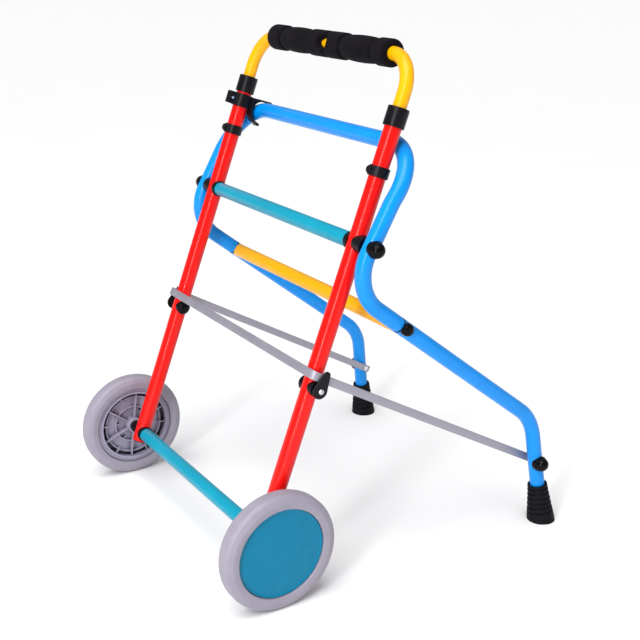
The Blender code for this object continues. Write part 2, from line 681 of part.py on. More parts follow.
def leg_joint(side, sign, space):
    """The plastic sleeve inside a bow's end and a leg's end, and the bolt into the rear crossbar."""
    x = sign * REAR_X
    inside = REAR_BORE - 2 * GAP
    half = 22 * MM
    lip = 1 * MM
    profile = [(5.5 * MM, -half), (inside, -half), (inside, GAP), (REAR_RADIUS + 0.2 * MM, GAP),
               (REAR_RADIUS + 0.2 * MM, GAP + 2 * lip - 0.2 * MM), (inside, GAP + 2 * lip - 0.2 * MM), (inside, half),
               (5.5 * MM, half)]
    body = as_object(f"leg_joint_sleeve_{side}", turned(profile, 12, Vector((x, SEAM.y, SEAM.z)), DIAGONAL), BLACK)
    bolt = side_point(JOINT_BOLT)
    drill_along_x(body, 2.5 * MM + GAP, bolt, x - 14 * MM, x + 14 * MM, "hole")
    head_in = REAR_X + 6 * MM
    head_out = REAR_X + REAR_RADIUS + 2 * MM
    head = 8 * MM
    profile = [(0, head_in), (head, head_in), (head, head_out), (6.8 * MM, head_out + 3 * MM),
               (4 * MM, head_out + 4.6 * MM), (0, head_out + 5 * MM)]
    made = as_object(f"leg_joint_bolt_{side}", turned(profile, 14, bolt, ALONG_X * sign), BLACK)
    cut(made, space)
    shank = rod(2.5 * MM, bolt + ALONG_X * sign * 182 * MM, bolt + ALONG_X * sign * (head_out + MM), 12)
    join(made, as_object(f"leg_joint_bolt_{side}_shank", shank))


def rear_crossbar(spaces):
    body = crossbar("rear_crossbar", side_point(JOINT_BOLT), REAR_X - 7 * MM, YELLOW, 26 * MM)
    for side in SIDES:
        cut(body, spaces[side])


def brace_pin(side, sign, space):
    """The pin that hinges an arm of the brace on a leg, and its cap."""
    centre = side_point(BRACE_PIN)
    tube_x = leg_centre(centre.z).x
    arm_inside = BRACE_REAR_X - BRACE_THICKNESS / 2 - 0.5 * MM
    profile = [(0, arm_inside - 1.3 * MM), (3.6 * MM, arm_inside - 1.3 * MM), (4 * MM, arm_inside - 0.4 * MM),
               (BOLT_RADIUS, arm_inside - 0.4 * MM), (BOLT_RADIUS, tube_x + 14 * MM), (0, tube_x + 14 * MM)]
    as_object(f"brace_pin_{side}", turned(profile, 12, centre, ALONG_X * sign), STEEL)
    dome_cap(f"brace_pin_cap_{side}", sign, centre, tube_x, tube_x + 15 * MM, space)


def foot_tip(side, sign):
    """A ribbed rubber tip with a blind bore, cut flat on the floor."""
    foot = mirrored(leg_centre(0), sign)
    axis = (mirrored(leg_centre(0.1), sign) - foot).normalized()
    below = 8 * MM
    growth = (FOOT_BASE_RADIUS - FOOT_TOP_RADIUS) / FOOT_LENGTH
    bore = REAR_RADIUS + GAP
    floor = 12 * MM
    profile = [(0, -below), (FOOT_BASE_RADIUS + growth * below, -below), (FOOT_BASE_RADIUS - 5 * growth * MM, 5 * MM),
               (FOOT_TOP_RADIUS, FOOT_LENGTH), (bore, FOOT_LENGTH), (bore, floor), (0, floor)]
    bm = turned(profile, 20, foot, axis)
    below_floor = bmesh.ops.bisect_plane(bm, geom=bm.verts[:] + bm.edges[:] + bm.faces[:], plane_co=(0, 0, 0),
                                         plane_no=(0, 0, -1), clear_outer=True)
    rim = [part for part in below_floor["geom_cut"] if isinstance(part, bmesh.types.BMEdge)]
    bmesh.ops.contextual_create(bm, geom=rim)
    as_object(f"foot_tip_{side}", bm, RUBBER)


# ---------------------------------------------------------------- assembly

def main():
    clear_scene()
    upright_spaces = {side: upright_cutter(f"upright_space_{side}", sign) for side, sign in SIDES.items()}
    diagonal_spaces = {side: diagonal_space(f"diagonal_space_{side}", sign) for side, sign in SIDES.items()}
    front_crossbars(upright_spaces)
    axle()
    handle()
    latch(upright_spaces["left"])
    brace()
    rear_bow()
    rear_crossbar(diagonal_spaces)
    for side, sign in SIDES.items():
        upright(side, sign)
        upright_plug(side, sign)
        pivot_pieces(side, sign, upright_spaces[side], bow_space(f"bow_space_{side}", sign))
        wheel(side, sign)
        grip(side, sign)
        collar(side, sign)
        height_clip(side, sign)
        bracket(side, sign, upright_spaces[side])
        leg(side, sign)
        leg_joint(side, sign, diagonal_spaces[side])
        brace_pin(side, sign, leg_space(f"leg_space_{side}", sign))
        foot_tip(side, sign)


main()
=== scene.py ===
"""Looks of the folding wheeled walking frame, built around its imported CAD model.

Metres, in the frame's own axes: the wheels are at the front, -Y, the rubber feet at the back,
and X runs across. Places start from the frame's joints and boxes, and the sizes below are the
CAD model's. Every CAD node that shows gets a fine piece that stands for it and rides on its body.
"""
import json
import math

import bmesh
import bpy
from mathutils import Matrix, Vector
from mathutils.geometry import intersect_line_line


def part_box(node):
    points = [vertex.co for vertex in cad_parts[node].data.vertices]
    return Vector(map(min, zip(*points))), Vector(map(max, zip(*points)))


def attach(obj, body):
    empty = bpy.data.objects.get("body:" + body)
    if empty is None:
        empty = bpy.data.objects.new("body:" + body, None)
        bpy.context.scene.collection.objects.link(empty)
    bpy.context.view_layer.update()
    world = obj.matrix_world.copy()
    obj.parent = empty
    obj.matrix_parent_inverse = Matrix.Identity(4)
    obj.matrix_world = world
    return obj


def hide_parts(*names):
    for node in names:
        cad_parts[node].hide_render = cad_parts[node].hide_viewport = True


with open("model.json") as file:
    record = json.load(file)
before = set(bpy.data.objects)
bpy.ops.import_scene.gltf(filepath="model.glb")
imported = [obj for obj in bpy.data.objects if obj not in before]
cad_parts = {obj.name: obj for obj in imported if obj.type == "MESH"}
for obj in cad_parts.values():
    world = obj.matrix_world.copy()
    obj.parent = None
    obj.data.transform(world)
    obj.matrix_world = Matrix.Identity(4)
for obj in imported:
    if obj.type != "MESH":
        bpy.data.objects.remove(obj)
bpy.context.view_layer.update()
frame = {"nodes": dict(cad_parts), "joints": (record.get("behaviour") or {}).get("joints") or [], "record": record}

BODY_OF = {node: body for body, nodes in frame["record"]["behaviour"]["bodies"].items() for node in nodes}
SIDES = {"left": -1, "right": 1}
MM = 0.001
GAP = 0.3 * MM
ALONG_X = Vector((1, 0, 0))


# ---------------------------------------------------------------- places, from the frame

def joint(name):
    return next(j for j in frame["joints"] if j["name"] == name)


def middle(node):
    low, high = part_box(node)
    return (low + high) / 2


def size(node):
    low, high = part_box(node)
    return high - low


ALONG_UPRIGHT = Vector(joint("handle_height")["axis"]).normalized()
BEHIND_UPRIGHT = Vector((0, ALONG_UPRIGHT.z, -ALONG_UPRIGHT.y))
PIVOT = Vector(joint("rear_frame_fold")["pos_m"])
BRACE_PIN = Vector(joint("brace_pivot")["pos_m"])
AXLE = Vector(joint("wheel_left_spin")["pos_m"]) * Vector((0, 1, 1))
JOINT_BOLT = middle("rear_crossbar") * Vector((0, 1, 1))
UPRIGHT_X = middle("front_upright_right").x
REAR_X = middle("leg_joint_sleeve_right").x
WHEEL_X = middle("tyre_right").x
FOOT_X = middle("foot_tip_right").x


def height_of(node):
    """How far along the uprights a node's middle is, from the axle."""
    return (middle(node) - AXLE).dot(ALONG_UPRIGHT)


def on_upright(height, behind=0.0, x=0.0):
    """A point at a height along the uprights' axes and a distance behind them."""
    return Vector((x, AXLE.y, AXLE.z)) + ALONG_UPRIGHT * height + BEHIND_UPRIGHT * behind


def at_x(point, x):
    return Vector((x, point.y, point.z))


# Front frame: heights along an upright, from the axle, and tube sizes
UPRIGHT_RADIUS = 10.5 * MM
UPRIGHT_BORE = 8.9 * MM
UPRIGHT_BOTTOM = -13 * MM
UPRIGHT_TOP = 531 * MM
BRACKET_HEIGHT = 194.5 * MM
CLIP_HEIGHT = 457 * MM
LATCH_HEIGHT = 499 * MM
COLLAR_HEIGHT = height_of("top_collar_right")
GRIP_HEIGHT = height_of("grip_right")
CROSSBAR_RADIUS = 9.5 * MM
CROSSBAR_BORE = 7.5 * MM
BOLT_RADIUS = 3 * MM
AXLE_RADIUS = 4 * MM
HANDLE_RADIUS = 8.5 * MM
HANDLE_BORE = 7 * MM
HANDLE_BOTTOM = 384 * MM
HANDLE_BEND = 43 * MM

# Rear frame
REAR_RADIUS = 10 * MM
REAR_BORE = 8.5 * MM
BOW_TOP = Vector((0, AXLE.y + 196 * MM, 532 * MM))
BOW_CORNER_RADIUS = 62 * MM
BOW_LEAN = math.radians(28.9)
BOW_SHOULDER_RISE = 56.6 * MM
BOW_SHOULDER_RADIUS = 60 * MM
BOW_ELBOW_RADIUS = 55 * MM
JOINT_SEAM_OFFSET = 8 * MM
LEG_KNEE = Vector((0, AXLE.y + 398.5 * MM, 152.8 * MM))
LEG_KNEE_RADIUS = 65 * MM
FOOT = Vector((FOOT_X, AXLE.y + 421.5 * MM, 0))

# Flat brace
BRACE_HEIGHT = 211 * MM
BRACE_WIDTH = 10.5 * MM
BRACE_THICKNESS = 3 * MM
BRACE_FRONT_X = 195.5 * MM
BRACE_REAR_X = 198 * MM
BRACE_STANDOFF = 13.4 * MM
BRACE_BEND = 7 * MM
BRACE_OVERHANG = 9 * MM

# Rubber feet
FOOT_TOP_RADIUS = 13.2 * MM
FOOT_BASE_RADIUS = 19.3 * MM
FOOT_LENGTH = 56 * MM

DIAGONAL = (LEG_KNEE - JOINT_BOLT).normalized()
SEAM = JOINT_BOLT - DIAGONAL * JOINT_SEAM_OFFSET
BOW_HEADING = Vector((0, math.sin(BOW_LEAN), math.cos(BOW_LEAN)))
BOW_ELBOW = intersect_line_line(PIVOT, PIVOT + BOW_HEADING, SEAM, SEAM + DIAGONAL)[0]
BOW_SHOULDER = PIVOT + BOW_HEADING * BOW_SHOULDER_RISE


def leg_centre(up, sign=1):
    """The axis of a leg's lower length, at a height above the floor."""
    point = FOOT.lerp(at_x(LEG_KNEE, REAR_X), up / LEG_KNEE.z)
    return Vector((sign * point.x, point.y, point.z))


def leg_heading(sign):
    """The direction of a leg's lower length, upwards."""
    return (leg_centre(0.1, sign) - leg_centre(0, sign)).normalized()


# ---------------------------------------------------------------- meshes

def eased(points, steps=5):
    """A profile whose corners are rounded: a point is (radius, distance) or has a fillet third.

    The profile is a closed loop, apart from ends on the axis.
    """
    made = []
    for i, point in enumerate(points):
        here = Vector(point[:2])
        if len(point) == 2:
            made.append(tuple(here))
            continue
        before = Vector(points[i - 1][:2]) - here
        after = Vector(points[(i + 1) % len(points)][:2]) - here
        half = before.angle(after) / 2
        tangent = min(point[2] / math.tan(half), before.length * 0.48, after.length * 0.48)
        radius = tangent * math.tan(half)
        start = here + before.normalized() * tangent
        centre = here + (before.normalized() + after.normalized()).normalized() * (radius / math.sin(half))
        turn = math.copysign(math.pi - 2 * half, -before.cross(after))
        for k in range(steps + 1):
            spoke = Matrix.Rotation(turn * k / steps, 2) @ (start - centre)
            made.append(tuple(centre + spoke))
    return made


def aligned(origin, direction):
    """The matrix that stands a shape made along +Z on an origin, along a direction."""
    turn = Vector((0, 0, 1)).rotation_difference(direction)
    return Matrix.Translation(origin) @ turn.to_matrix().to_4x4()


def bridge_rings(bm, first, second):
    """Faces between two rings of vertices, either of which may be a single point."""
    count = max(len(first), len(second))
    for k in range(count):
        corners = [first[k % len(first)], first[(k + 1) % len(first)],
                   second[(k + 1) % len(second)], second[k % len(second)]]
        bm.faces.new(list(dict.fromkeys(corners)))


def turned(profile, origin, direction, sides=56):
    """A closed body of revolution; the profile is eased first."""
    bm = bmesh.new()
    place = aligned(origin, direction)
    rings = []
    for radius, distance in eased(profile):
        count = sides if radius > 1e-7 else 1
        angles = [2 * math.pi * k / sides for k in range(count)]
        rings.append([bm.verts.new(place @ Vector((radius * math.cos(a), radius * math.sin(a), distance)))
                      for a in angles])
    last = len(rings) if all(len(ring) > 1 for ring in rings) else len(rings) - 1
    for i in range(last):
        bridge_rings(bm, rings[i], rings[(i + 1) % len(rings)])
    return bm


def rod(radius, start, end, sides=32):
    length = (end - start).length
    profile = [(0, 0), (radius, 0), (radius, length), (0, length)]
    return turned(profile, start, (end - start).normalized(), sides)


def tube(outer, bore, start, end, ease=0.4 * MM, sides=56):
    """A straight open tube with eased ends."""
    length = (end - start).length
    profile = [(bore, 0), (outer, 0, ease), (outer, length, ease), (bore, length)]
    return turned(profile, start, (end - start).normalized(), sides)


def rounded_path(corners, steps=20):
    """Points along straight runs joined by arcs; a corner is (point, bend radius)."""
    points = [corners[0][0]]
    for i in range(1, len(corners) - 1):
        corner, radius = corners[i]
        towards = (corners[i - 1][0] - corner).normalized()
        onwards = (corners[i + 1][0] - corner).normalized()
        half_turn = (math.pi - towards.angle(onwards)) / 2
        start = corner + towards * (radius * math.tan(half_turn))
        centre = corner + (towards + onwards).normalized() * (radius / math.cos(half_turn))
        axis = towards.cross(onwards).normalized()
        count = max(2, round(steps * 2 * half_turn / (math.pi / 2)))
        for k in range(count + 1):
            turn = Matrix.Rotation(-2 * half_turn * k / count, 3, axis)
            points.append(centre + turn @ (start - centre))
    points.append(corners[-1][0])
    return points


def bent_tube(corners, outer, bore, sides=40):
    """An open-ended tube along a rounded path."""
    points = rounded_path(corners)
    bm = bmesh.new()
    outside = []
    inside = []
    heading = (points[1] - points[0]).normalized()
    up = heading.orthogonal().normalized()
    for i, point in enumerate(points):
        before = points[max(i - 1, 0)]
        after = points[min(i + 1, len(points) - 1)]
        tangent = ((after - point).normalized() + (point - before).normalized()).normalized()
        up = (heading.rotation_difference(tangent) @ up).normalized()
        heading = tangent
        side = up.cross(heading)
        spokes = [side * math.cos(2 * math.pi * k / sides) + up * math.sin(2 * math.pi * k / sides)
                  for k in range(sides)]
        outside.append([bm.verts.new(point + spoke * outer) for spoke in spokes])
        inside.append([bm.verts.new(point + spoke * bore) for spoke in spokes])
    for wall in (outside, inside):
        for first, second in zip(wall, wall[1:]):
            bridge_rings(bm, first, second)
    for end in (0, -1):
        bridge_rings(bm, outside[end], inside[end])
    return bm


def hollow(bm, centre, heading, radius, towards):
    """Pushes what lies inside a tube, or beyond it, along X to its surface on one side.

    The tube has a centre and a heading; towards is +1 or -1, the side that is kept.
    """
    push = ALONG_X * towards
    ray = push - heading * push.dot(heading)
    for vert in bm.verts:
        offset = vert.co - centre
        spoke = offset - heading * offset.dot(heading)
        a = ray.dot(ray)
        b = 2 * spoke.dot(ray)
        inside = b * b - 4 * a * (spoke.dot(spoke) - radius ** 2)
        if inside <= 0:
            continue
        step = (-b + math.sqrt(inside)) / (2 * a)
        if step > 0:
            vert.co += push * step
    return bm


def seated(bm, sign, towards):
    """Hollows a piece to sit on the upright of one side."""
    return hollow(bm, on_upright(0, 0, sign * UPRIGHT_X), ALONG_UPRIGHT, UPRIGHT_RADIUS + GAP, towards)


def upright_room(low, high, x):
    """A cutter that clears an upright between two heights."""
    return rod(UPRIGHT_RADIUS + GAP, on_upright(low, 0, x), on_upright(high, 0, x), 56)


def dome_points(radius, rise, base, first):
    """A dome's profile from its rim towards its top, every 6 degrees."""
    angles = [math.radians(6 * k) for k in range(first, 15)]
    return [(radius * math.cos(a), base + rise * math.sin(a)) for a in angles]


def plate(outline, x_from, x_to):
    """A flat outline of (y, z) vectors, extruded along X."""
    bm = bmesh.new()
    near = [bm.verts.new(at_x(p, x_from)) for p in outline]
    far = [bm.verts.new(at_x(p, x_to)) for p in outline]
    bm.faces.new(near)
    bm.faces.new(far)
    bridge_rings(bm, near, far)
    return bm


def block(centre, extent, direction):
    """A box whose third dimension runs along a direction in the YZ plane."""
    bm = bmesh.new()
    other = ALONG_X.cross(direction).normalized()
    turn = Matrix((ALONG_X, -other, direction)).transposed().to_4x4()
    place = Matrix.Translation(centre) @ turn @ Matrix.Diagonal((*extent, 1))
    bmesh.ops.create_cube(bm, size=1.0, matrix=place)
    return bm


def arc(centre, radius, start, end, steps):
    """Points in the uprights' own side view: start and end are angles from behind, upwards."""
    points = []
    for k in range(steps + 1):
        angle = math.radians(start + (end - start) * k / steps)
        points.append(centre + BEHIND_UPRIGHT * (radius * math.cos(angle))
                      + ALONG_UPRIGHT * (radius * math.sin(angle)))
    return points


def object_of(name, bm, sharp=32):
    """A smooth-shaded object whose faces point outwards."""
    bmesh.ops.recalc_face_normals(bm, faces=bm.faces)
    if bm.calc_volume(signed=True) < 0:
        bmesh.ops.reverse_faces(bm, faces=bm.faces)
    mesh = bpy.data.meshes.new(name)
    bm.to_mesh(mesh)
    bm.free()
    mesh.shade_smooth()
    mesh.set_sharp_from_angle(angle=math.radians(sharp))
    made = bpy.data.objects.new(name, mesh)
    bpy.context.scene.collection.objects.link(made)
    return made


def applied(made, sharp=32):
    """The object with its modifiers applied to its mesh."""
    seen = made.evaluated_get(bpy.context.evaluated_depsgraph_get())
    mesh = bpy.data.meshes.new_from_object(seen)
    made.modifiers.clear()
    made.data = mesh
    mesh.shade_smooth()
    mesh.set_sharp_from_angle(angle=math.radians(sharp))
    return made


def joined(name, bodies, cutters=()):
    """One object from overlapping closed bodies, less the cutters."""
    base = object_of(name, bodies[0])
    helpers = []
    for operation, shapes in (("UNION", bodies[1:]), ("DIFFERENCE", cutters)):
        for shape in shapes:
            helper = object_of(f"{name}_helper", shape)
            step = base.modifiers.new("join", "BOOLEAN")
            step.operation = operation
            step.object = helper
            helpers.append(helper)
    applied(base)
    for helper in helpers:
        bpy.data.objects.remove(helper)
    return base


def moulded(made, voxel=0.5 * MM, passes=3):
    """Softens every edge, as a mould does, by remeshing and smoothing."""
    remesh = made.modifiers.new("remesh", "REMESH")
    remesh.mode = "VOXEL"
    remesh.voxel_size = voxel
    smooth = made.modifiers.new("smooth", "SMOOTH")
    smooth.factor = 0.5
    smooth.iterations = passes
    thin = made.modifiers.new("thin", "DECIMATE")
    thin.ratio = 0.35
    return applied(made, sharp=60)


def bevelled(made, width, segments=3):
    step = made.modifiers.new("bevel", "BEVEL")
    step.width = width
    step.segments = segments
    step.limit_method = "ANGLE"
    step.angle_limit = math.radians(35)
    return applied(made, sharp=40)


# ---------------------------------------------------------------- materials

def preset(node, values):
    """Sets a node's own sockets, by name."""
    for name, value in values.items():
        node.inputs[name].default_value = value
    return node


def new_material(name):
    made = bpy.data.materials.new(name)
    made.use_nodes = True
    tree = made.node_tree
    return made, tree, tree.nodes["Principled BSDF"]


def place_in(tree, stretch=(1, 1, 1), tilt=0.0):
    """Object coordinates, turned about X and stretched."""
    where = tree.nodes.new("ShaderNodeTexCoord")
    turn = preset(tree.nodes.new("ShaderNodeMapping"), {"Rotation": (tilt, 0, 0)})
    tree.links.new(where.outputs["Object"], turn.inputs["Vector"])
    pull = preset(tree.nodes.new("ShaderNodeMapping"), {"Scale": stretch})
    tree.links.new(turn.outputs["Vector"], pull.inputs["Vector"])
    return pull.outputs["Vector"]


def noise(tree, where, grain, detail=3.0, roughness=0.55):
    """A noise whose grain is about so many metres across."""
    made = tree.nodes.new("ShaderNodeTexNoise")
    preset(made, {"Scale": 1 / grain, "Detail": detail, "Roughness": roughness})
    tree.links.new(where, made.inputs["Vector"])
    return made.outputs["Fac"]


def cells(tree, where, grain):
    made = preset(tree.nodes.new("ShaderNodeTexVoronoi"), {"Scale": 1 / grain})
    tree.links.new(where, made.inputs["Vector"])
    return made.outputs["Distance"]


def ranged(tree, value, low, high, seen=(0.3, 0.7)):
    """The value's usual range, stretched to run from low to high."""
    made = tree.nodes.new("ShaderNodeMapRange")
    preset(made, {"From Min": seen[0], "From Max": seen[1], "To Min": low, "To Max": high})
    tree.links.new(value, made.inputs["Value"])
    return made.outputs["Result"]


def tinted(tree, value, first, second, seen=(0.3, 0.7)):
    """A colour between two, by a value."""
    made = tree.nodes.new("ShaderNodeValToRGB")
    low, high = made.color_ramp.elements
    low.position, high.position = seen
    low.color = (*first, 1)
    high.color = (*second, 1)
    tree.links.new(value, made.inputs["Fac"])
    return made.outputs["Color"]


def summed(tree, first, second, share):
    """The first value plus a share of the second."""
    made = tree.nodes.new("ShaderNodeMath")
    made.operation = "MULTIPLY_ADD"
    tree.links.new(second, made.inputs[0])
    made.inputs[1].default_value = share
    tree.links.new(first, made.inputs[2])
    return made.outputs["Value"]


def bumped(tree, shader, height, depth, strength=1.0):
    made = preset(tree.nodes.new("ShaderNodeBump"), {"Distance": depth, "Strength": strength})
    tree.links.new(height, made.inputs["Height"])
    tree.links.new(made.outputs["Normal"], shader.inputs["Normal"])


def colour_socket(sockets, name):
    """A Mix node has a socket of each type under one name; this is the colour's."""
    return next(socket for socket in sockets if socket.name == name and socket.type == "RGBA")


def painted_crevice_shade(tree, tone, reach, shade_colour=(0.012, 0.01, 0.03)):
    """The colour, darkened to a painted shade where surfaces within reach close it in."""
    # Painted shade: an ambient occlusion mask darkens the colour in crevices and recesses.
    closed = tree.nodes.new("ShaderNodeAmbientOcclusion")
    closed.samples = 8
    closed.inputs["Distance"].default_value = reach
    openness = ranged(tree, closed.outputs["AO"], 0.0, 1.0, (0.2, 0.55))
    mixed = tree.nodes.new("ShaderNodeMix")
    mixed.data_type = "RGBA"
    colour_socket(mixed.inputs, "A").default_value = (*shade_colour, 1)
    tree.links.new(openness, mixed.inputs["Factor"])
    tree.links.new(tone, colour_socket(mixed.inputs, "B"))
    return colour_socket(mixed.outputs, "Result")


def shade(colour, factor):
    return tuple(min(1.0, channel * factor) for channel in colour)


def paint(name, colour, roughness=0.3, coat=0.22):
    """Gloss powder coat: slight orange peel, patches of tint and dull handling marks."""
    made, tree, shader = new_material(name)
    where = place_in(tree)
    patches = noise(tree, where, 35 * MM)
    marks = noise(tree, where, 6 * MM, detail=6.0, roughness=0.7)
    peel = noise(tree, where, 2.2 * MM, detail=1.0)
    mixed = summed(tree, patches, marks, 0.25)
    tree.links.new(tinted(tree, mixed, shade(colour, 0.93), shade(colour, 1.04), (0.42, 0.85)),
                   shader.inputs["Base Color"])
    tree.links.new(ranged(tree, marks, roughness - 0.05, roughness + 0.1), shader.inputs["Roughness"])
    bumped(tree, shader, peel, 0.06 * MM, 0.5)
    preset(shader, {"Specular IOR Level": 0.2, "Coat Weight": coat, "Coat Roughness": 0.06})
    return made


def moulding(name, colour, roughness, grain=0.5 * MM, depth=0.03 * MM, coat=0.0, mottling=0.06,
             specular=0.5, crevice_shade_reach=0.0):
    """Moulded plastic: a fine grain, slight mottling, uneven gloss and, if asked, painted shade in its crevices.
    """
    made, tree, shader = new_material(name)
    where = place_in(tree)
    mottle = noise(tree, where, 16 * MM, detail=6.0)
    sparks = noise(tree, where, grain, detail=2.0)
    tone = tinted(tree, mottle, shade(colour, 1 - mottling), shade(colour, 1 + mottling))
    # Painted shade: when a reach is given, the tone darkens in crevices.
    if crevice_shade_reach:
        tone = painted_crevice_shade(tree, tone, crevice_shade_reach)
    tree.links.new(tone, shader.inputs["Base Color"])
    tree.links.new(ranged(tree, mottle, roughness - 0.03, roughness + 0.05), shader.inputs["Roughness"])
    bumped(tree, shader, sparks, depth, 0.6)
    preset(shader, {"Specular IOR Level": specular, "Coat Weight": coat, "Coat Roughness": 0.1})
    return made


def foam(name, colour):
    """Closed-cell foam: small pores, a soft sheen and a faint cast."""
    made, tree, shader = new_material(name)
    where = place_in(tree)
    pores = cells(tree, where, 1.1 * MM)
    fuzz = noise(tree, where, 0.5 * MM, detail=4.0)
    patches = noise(tree, where, 12 * MM)
    height = summed(tree, fuzz, pores, 0.8)
    tone = summed(tree, patches, pores, 0.35)
    tree.links.new(tinted(tree, tone, shade(colour, 0.6), shade(colour, 1.5), (0.35, 0.85)),
                   shader.inputs["Base Color"])
    tree.links.new(ranged(tree, fuzz, 0.82, 0.97), shader.inputs["Roughness"])
    bumped(tree, shader, height, 0.3 * MM, 0.7)
    preset(shader, {"Specular IOR Level": 0.06, "Sheen Weight": 0.02, "Sheen Roughness": 0.5})
    return made


def rubber(name, colour):
    """Black rubber with a matt bloom and a fine grain."""
    made, tree, shader = new_material(name)
    where = place_in(tree)
    bloom = noise(tree, where, 14 * MM, detail=6.0, roughness=0.65)
    grain = noise(tree, where, 0.7 * MM, detail=3.0)
    tree.links.new(tinted(tree, bloom, shade(colour, 0.7), shade(colour, 1.8)), shader.inputs["Base Color"])
    tree.links.new(ranged(tree, bloom, 0.5, 0.72), shader.inputs["Roughness"])
    bumped(tree, shader, grain, 0.08 * MM, 0.6)
    shader.inputs["Specular IOR Level"].default_value = 0.1
    return made


def metal(name, colour, roughness, stretch=(1, 1, 1), tilt=0.0, metallic=1.0, depth=0.02 * MM):
    """Metal with fine lines or grain, and duller patches."""
    made, tree, shader = new_material(name)
    lines = noise(tree, place_in(tree, stretch, tilt), 0.8 * MM, detail=4.0)
    patches = noise(tree, place_in(tree), 16 * MM, detail=5.0)
    mixed = summed(tree, patches, lines, 0.6)
    seen = (0.6, 1.0)
    tree.links.new(tinted(tree, mixed, shade(colour, 0.94), shade(colour, 1.05), seen),
                   shader.inputs["Base Color"])
    tree.links.new(ranged(tree, mixed, roughness - 0.06, roughness + 0.1, seen), shader.inputs["Roughness"])
    bumped(tree, shader, lines, depth, 0.6)
    shader.inputs["Metallic"].default_value = metallic
    return made


def floor_finish(name, colour):
    made, tree, shader = new_material(name)
    dust = noise(tree, place_in(tree), 300 * MM, detail=6.0)
    tree.links.new(tinted(tree, dust, shade(colour, 0.985), colour), shader.inputs["Base Color"])
    preset(shader, {"Roughness": 0.9, "Specular IOR Level": 0.1})
    return made


BRACE_FRONT = on_upright(BRACE_HEIGHT, -BRACE_STANDOFF)
BRACE_BACKWARDS = (BRACE_PIN - BRACE_FRONT).normalized()
BRACE_TILT = math.atan2(-BRACE_BACKWARDS.z, BRACE_BACKWARDS.y)

FINISHES = {
    "red_paint": paint("red_enamel", (0.86, 0.003, 0.001)),
    "blue_paint": paint("blue_enamel", (0.0, 0.28, 0.84)),
    "yellow_paint": paint("yellow_enamel", (0.97, 0.45, 0.0)),
    "teal_paint": paint("teal_enamel", (0.002, 0.30, 0.44), roughness=0.34, coat=0.2),
    "black_plastic": moulding("black_nylon", (0.004, 0.003, 0.005), 0.34, mottling=0.2, specular=0.2),
    "black_foam": foam("black_foam", (0.005, 0.004, 0.006)),
    "black_rubber": rubber("black_rubber", (0.005, 0.004, 0.006)),
    "zinc_steel": metal("zinc_plate", (0.7, 0.7, 0.74), 0.28),
    "aluminium": metal("brushed_aluminium", (0.36, 0.345, 0.41), 0.42, stretch=(0.02, 0.02, 1),
                       tilt=BRACE_TILT, metallic=0.5),
    "tyre_grey": moulding("grey_tyre", (0.305, 0.278, 0.345), 0.5, grain=0.8 * MM, depth=0.06 * MM),
    # The hub's grey carries painted shade in its crevices, within 14 mm.
    "hub_grey": moulding("grey_nylon", (0.33, 0.31, 0.41), 0.45, crevice_shade_reach=14 * MM),
    "disc_teal": moulding("teal_disc", (0.0, 0.19, 0.34), 0.3, coat=0.08, specular=0.15),
}
BALL_FINISH = moulding("black_gloss", (0.003, 0.003, 0.004), 0.2, depth=0.01 * MM, coat=0.06,
                       mottling=0.2, specular=0.08)


# ---------------------------------------------------------------- pieces

def show(node, made, slot, finish=None):
    """Stands a fine object in for a CAD node, on the node's body."""
    made.name = f"{node}_skin"
    made.data.materials.clear()
    made.data.materials.append(finish or FINISHES[slot])
    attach(made, BODY_OF[node])
    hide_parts(node)
    return made


def show_turned(node, bm, slot, finish=None):
    return show(node, object_of(f"{node}_skin", bm), slot, finish)


def upright(side, sign):
    """An upright and the plug in its lower end."""
    x = sign * UPRIGHT_X
    bottom = on_upright(UPRIGHT_BOTTOM, 0, x)
    top = on_upright(UPRIGHT_TOP, 0, x)
    show_turned(f"front_upright_{side}", tube(UPRIGHT_RADIUS, UPRIGHT_BORE, bottom, top), "red_paint")
    flange = 2 * MM
    length = 8 * MM
    profile = [(0, 0), (8 * MM, 0, 1 * MM), (UPRIGHT_RADIUS, flange - GAP, 0.4 * MM),
               (8.5 * MM, flange - GAP), (8.4 * MM, length), (0, length)]
    plug = turned(profile, on_upright(UPRIGHT_BOTTOM - flange, 0, x), ALONG_UPRIGHT)
    show_turned(f"upright_plug_{side}", plug, "black_plastic")


def crossbars():
    """The two teal bars between the uprights."""
    half = UPRIGHT_X - UPRIGHT_RADIUS - 3 * MM
    length = 2 * half
    bars = (("upper_crossbar", PIVOT, BOLT_RADIUS + GAP), ("lower_crossbar", AXLE, CROSSBAR_BORE))
    for node, centre, bore in bars:
        profile = [(bore, 0), (CROSSBAR_RADIUS, 0, 0.5 * MM),
                   (CROSSBAR_RADIUS, length, 0.5 * MM), (bore, length)]
        show_turned(node, turned(profile, at_x(centre, -half), ALONG_X), "teal_paint")


def saddle(sign, centre, x_from, x_to, radius, bore, ease=0.8 * MM):
    """A spacer along X; rings across its faces let the hollowed one follow a tube."""
    length = x_to - x_from
    middle_radius = (radius + bore) / 2
    near_axis = bore + (middle_radius - bore) / 2
    near_rim = radius - (radius - middle_radius) / 2
    profile = [(bore, 0), (near_axis, 0), (middle_radius, 0), (near_rim, 0), (radius, 0, ease),
               (radius, length, ease), (near_rim, length), (middle_radius, length), (near_axis, length),
               (bore, length)]
    return turned(profile, at_x(centre, sign * x_from), ALONG_X * sign)


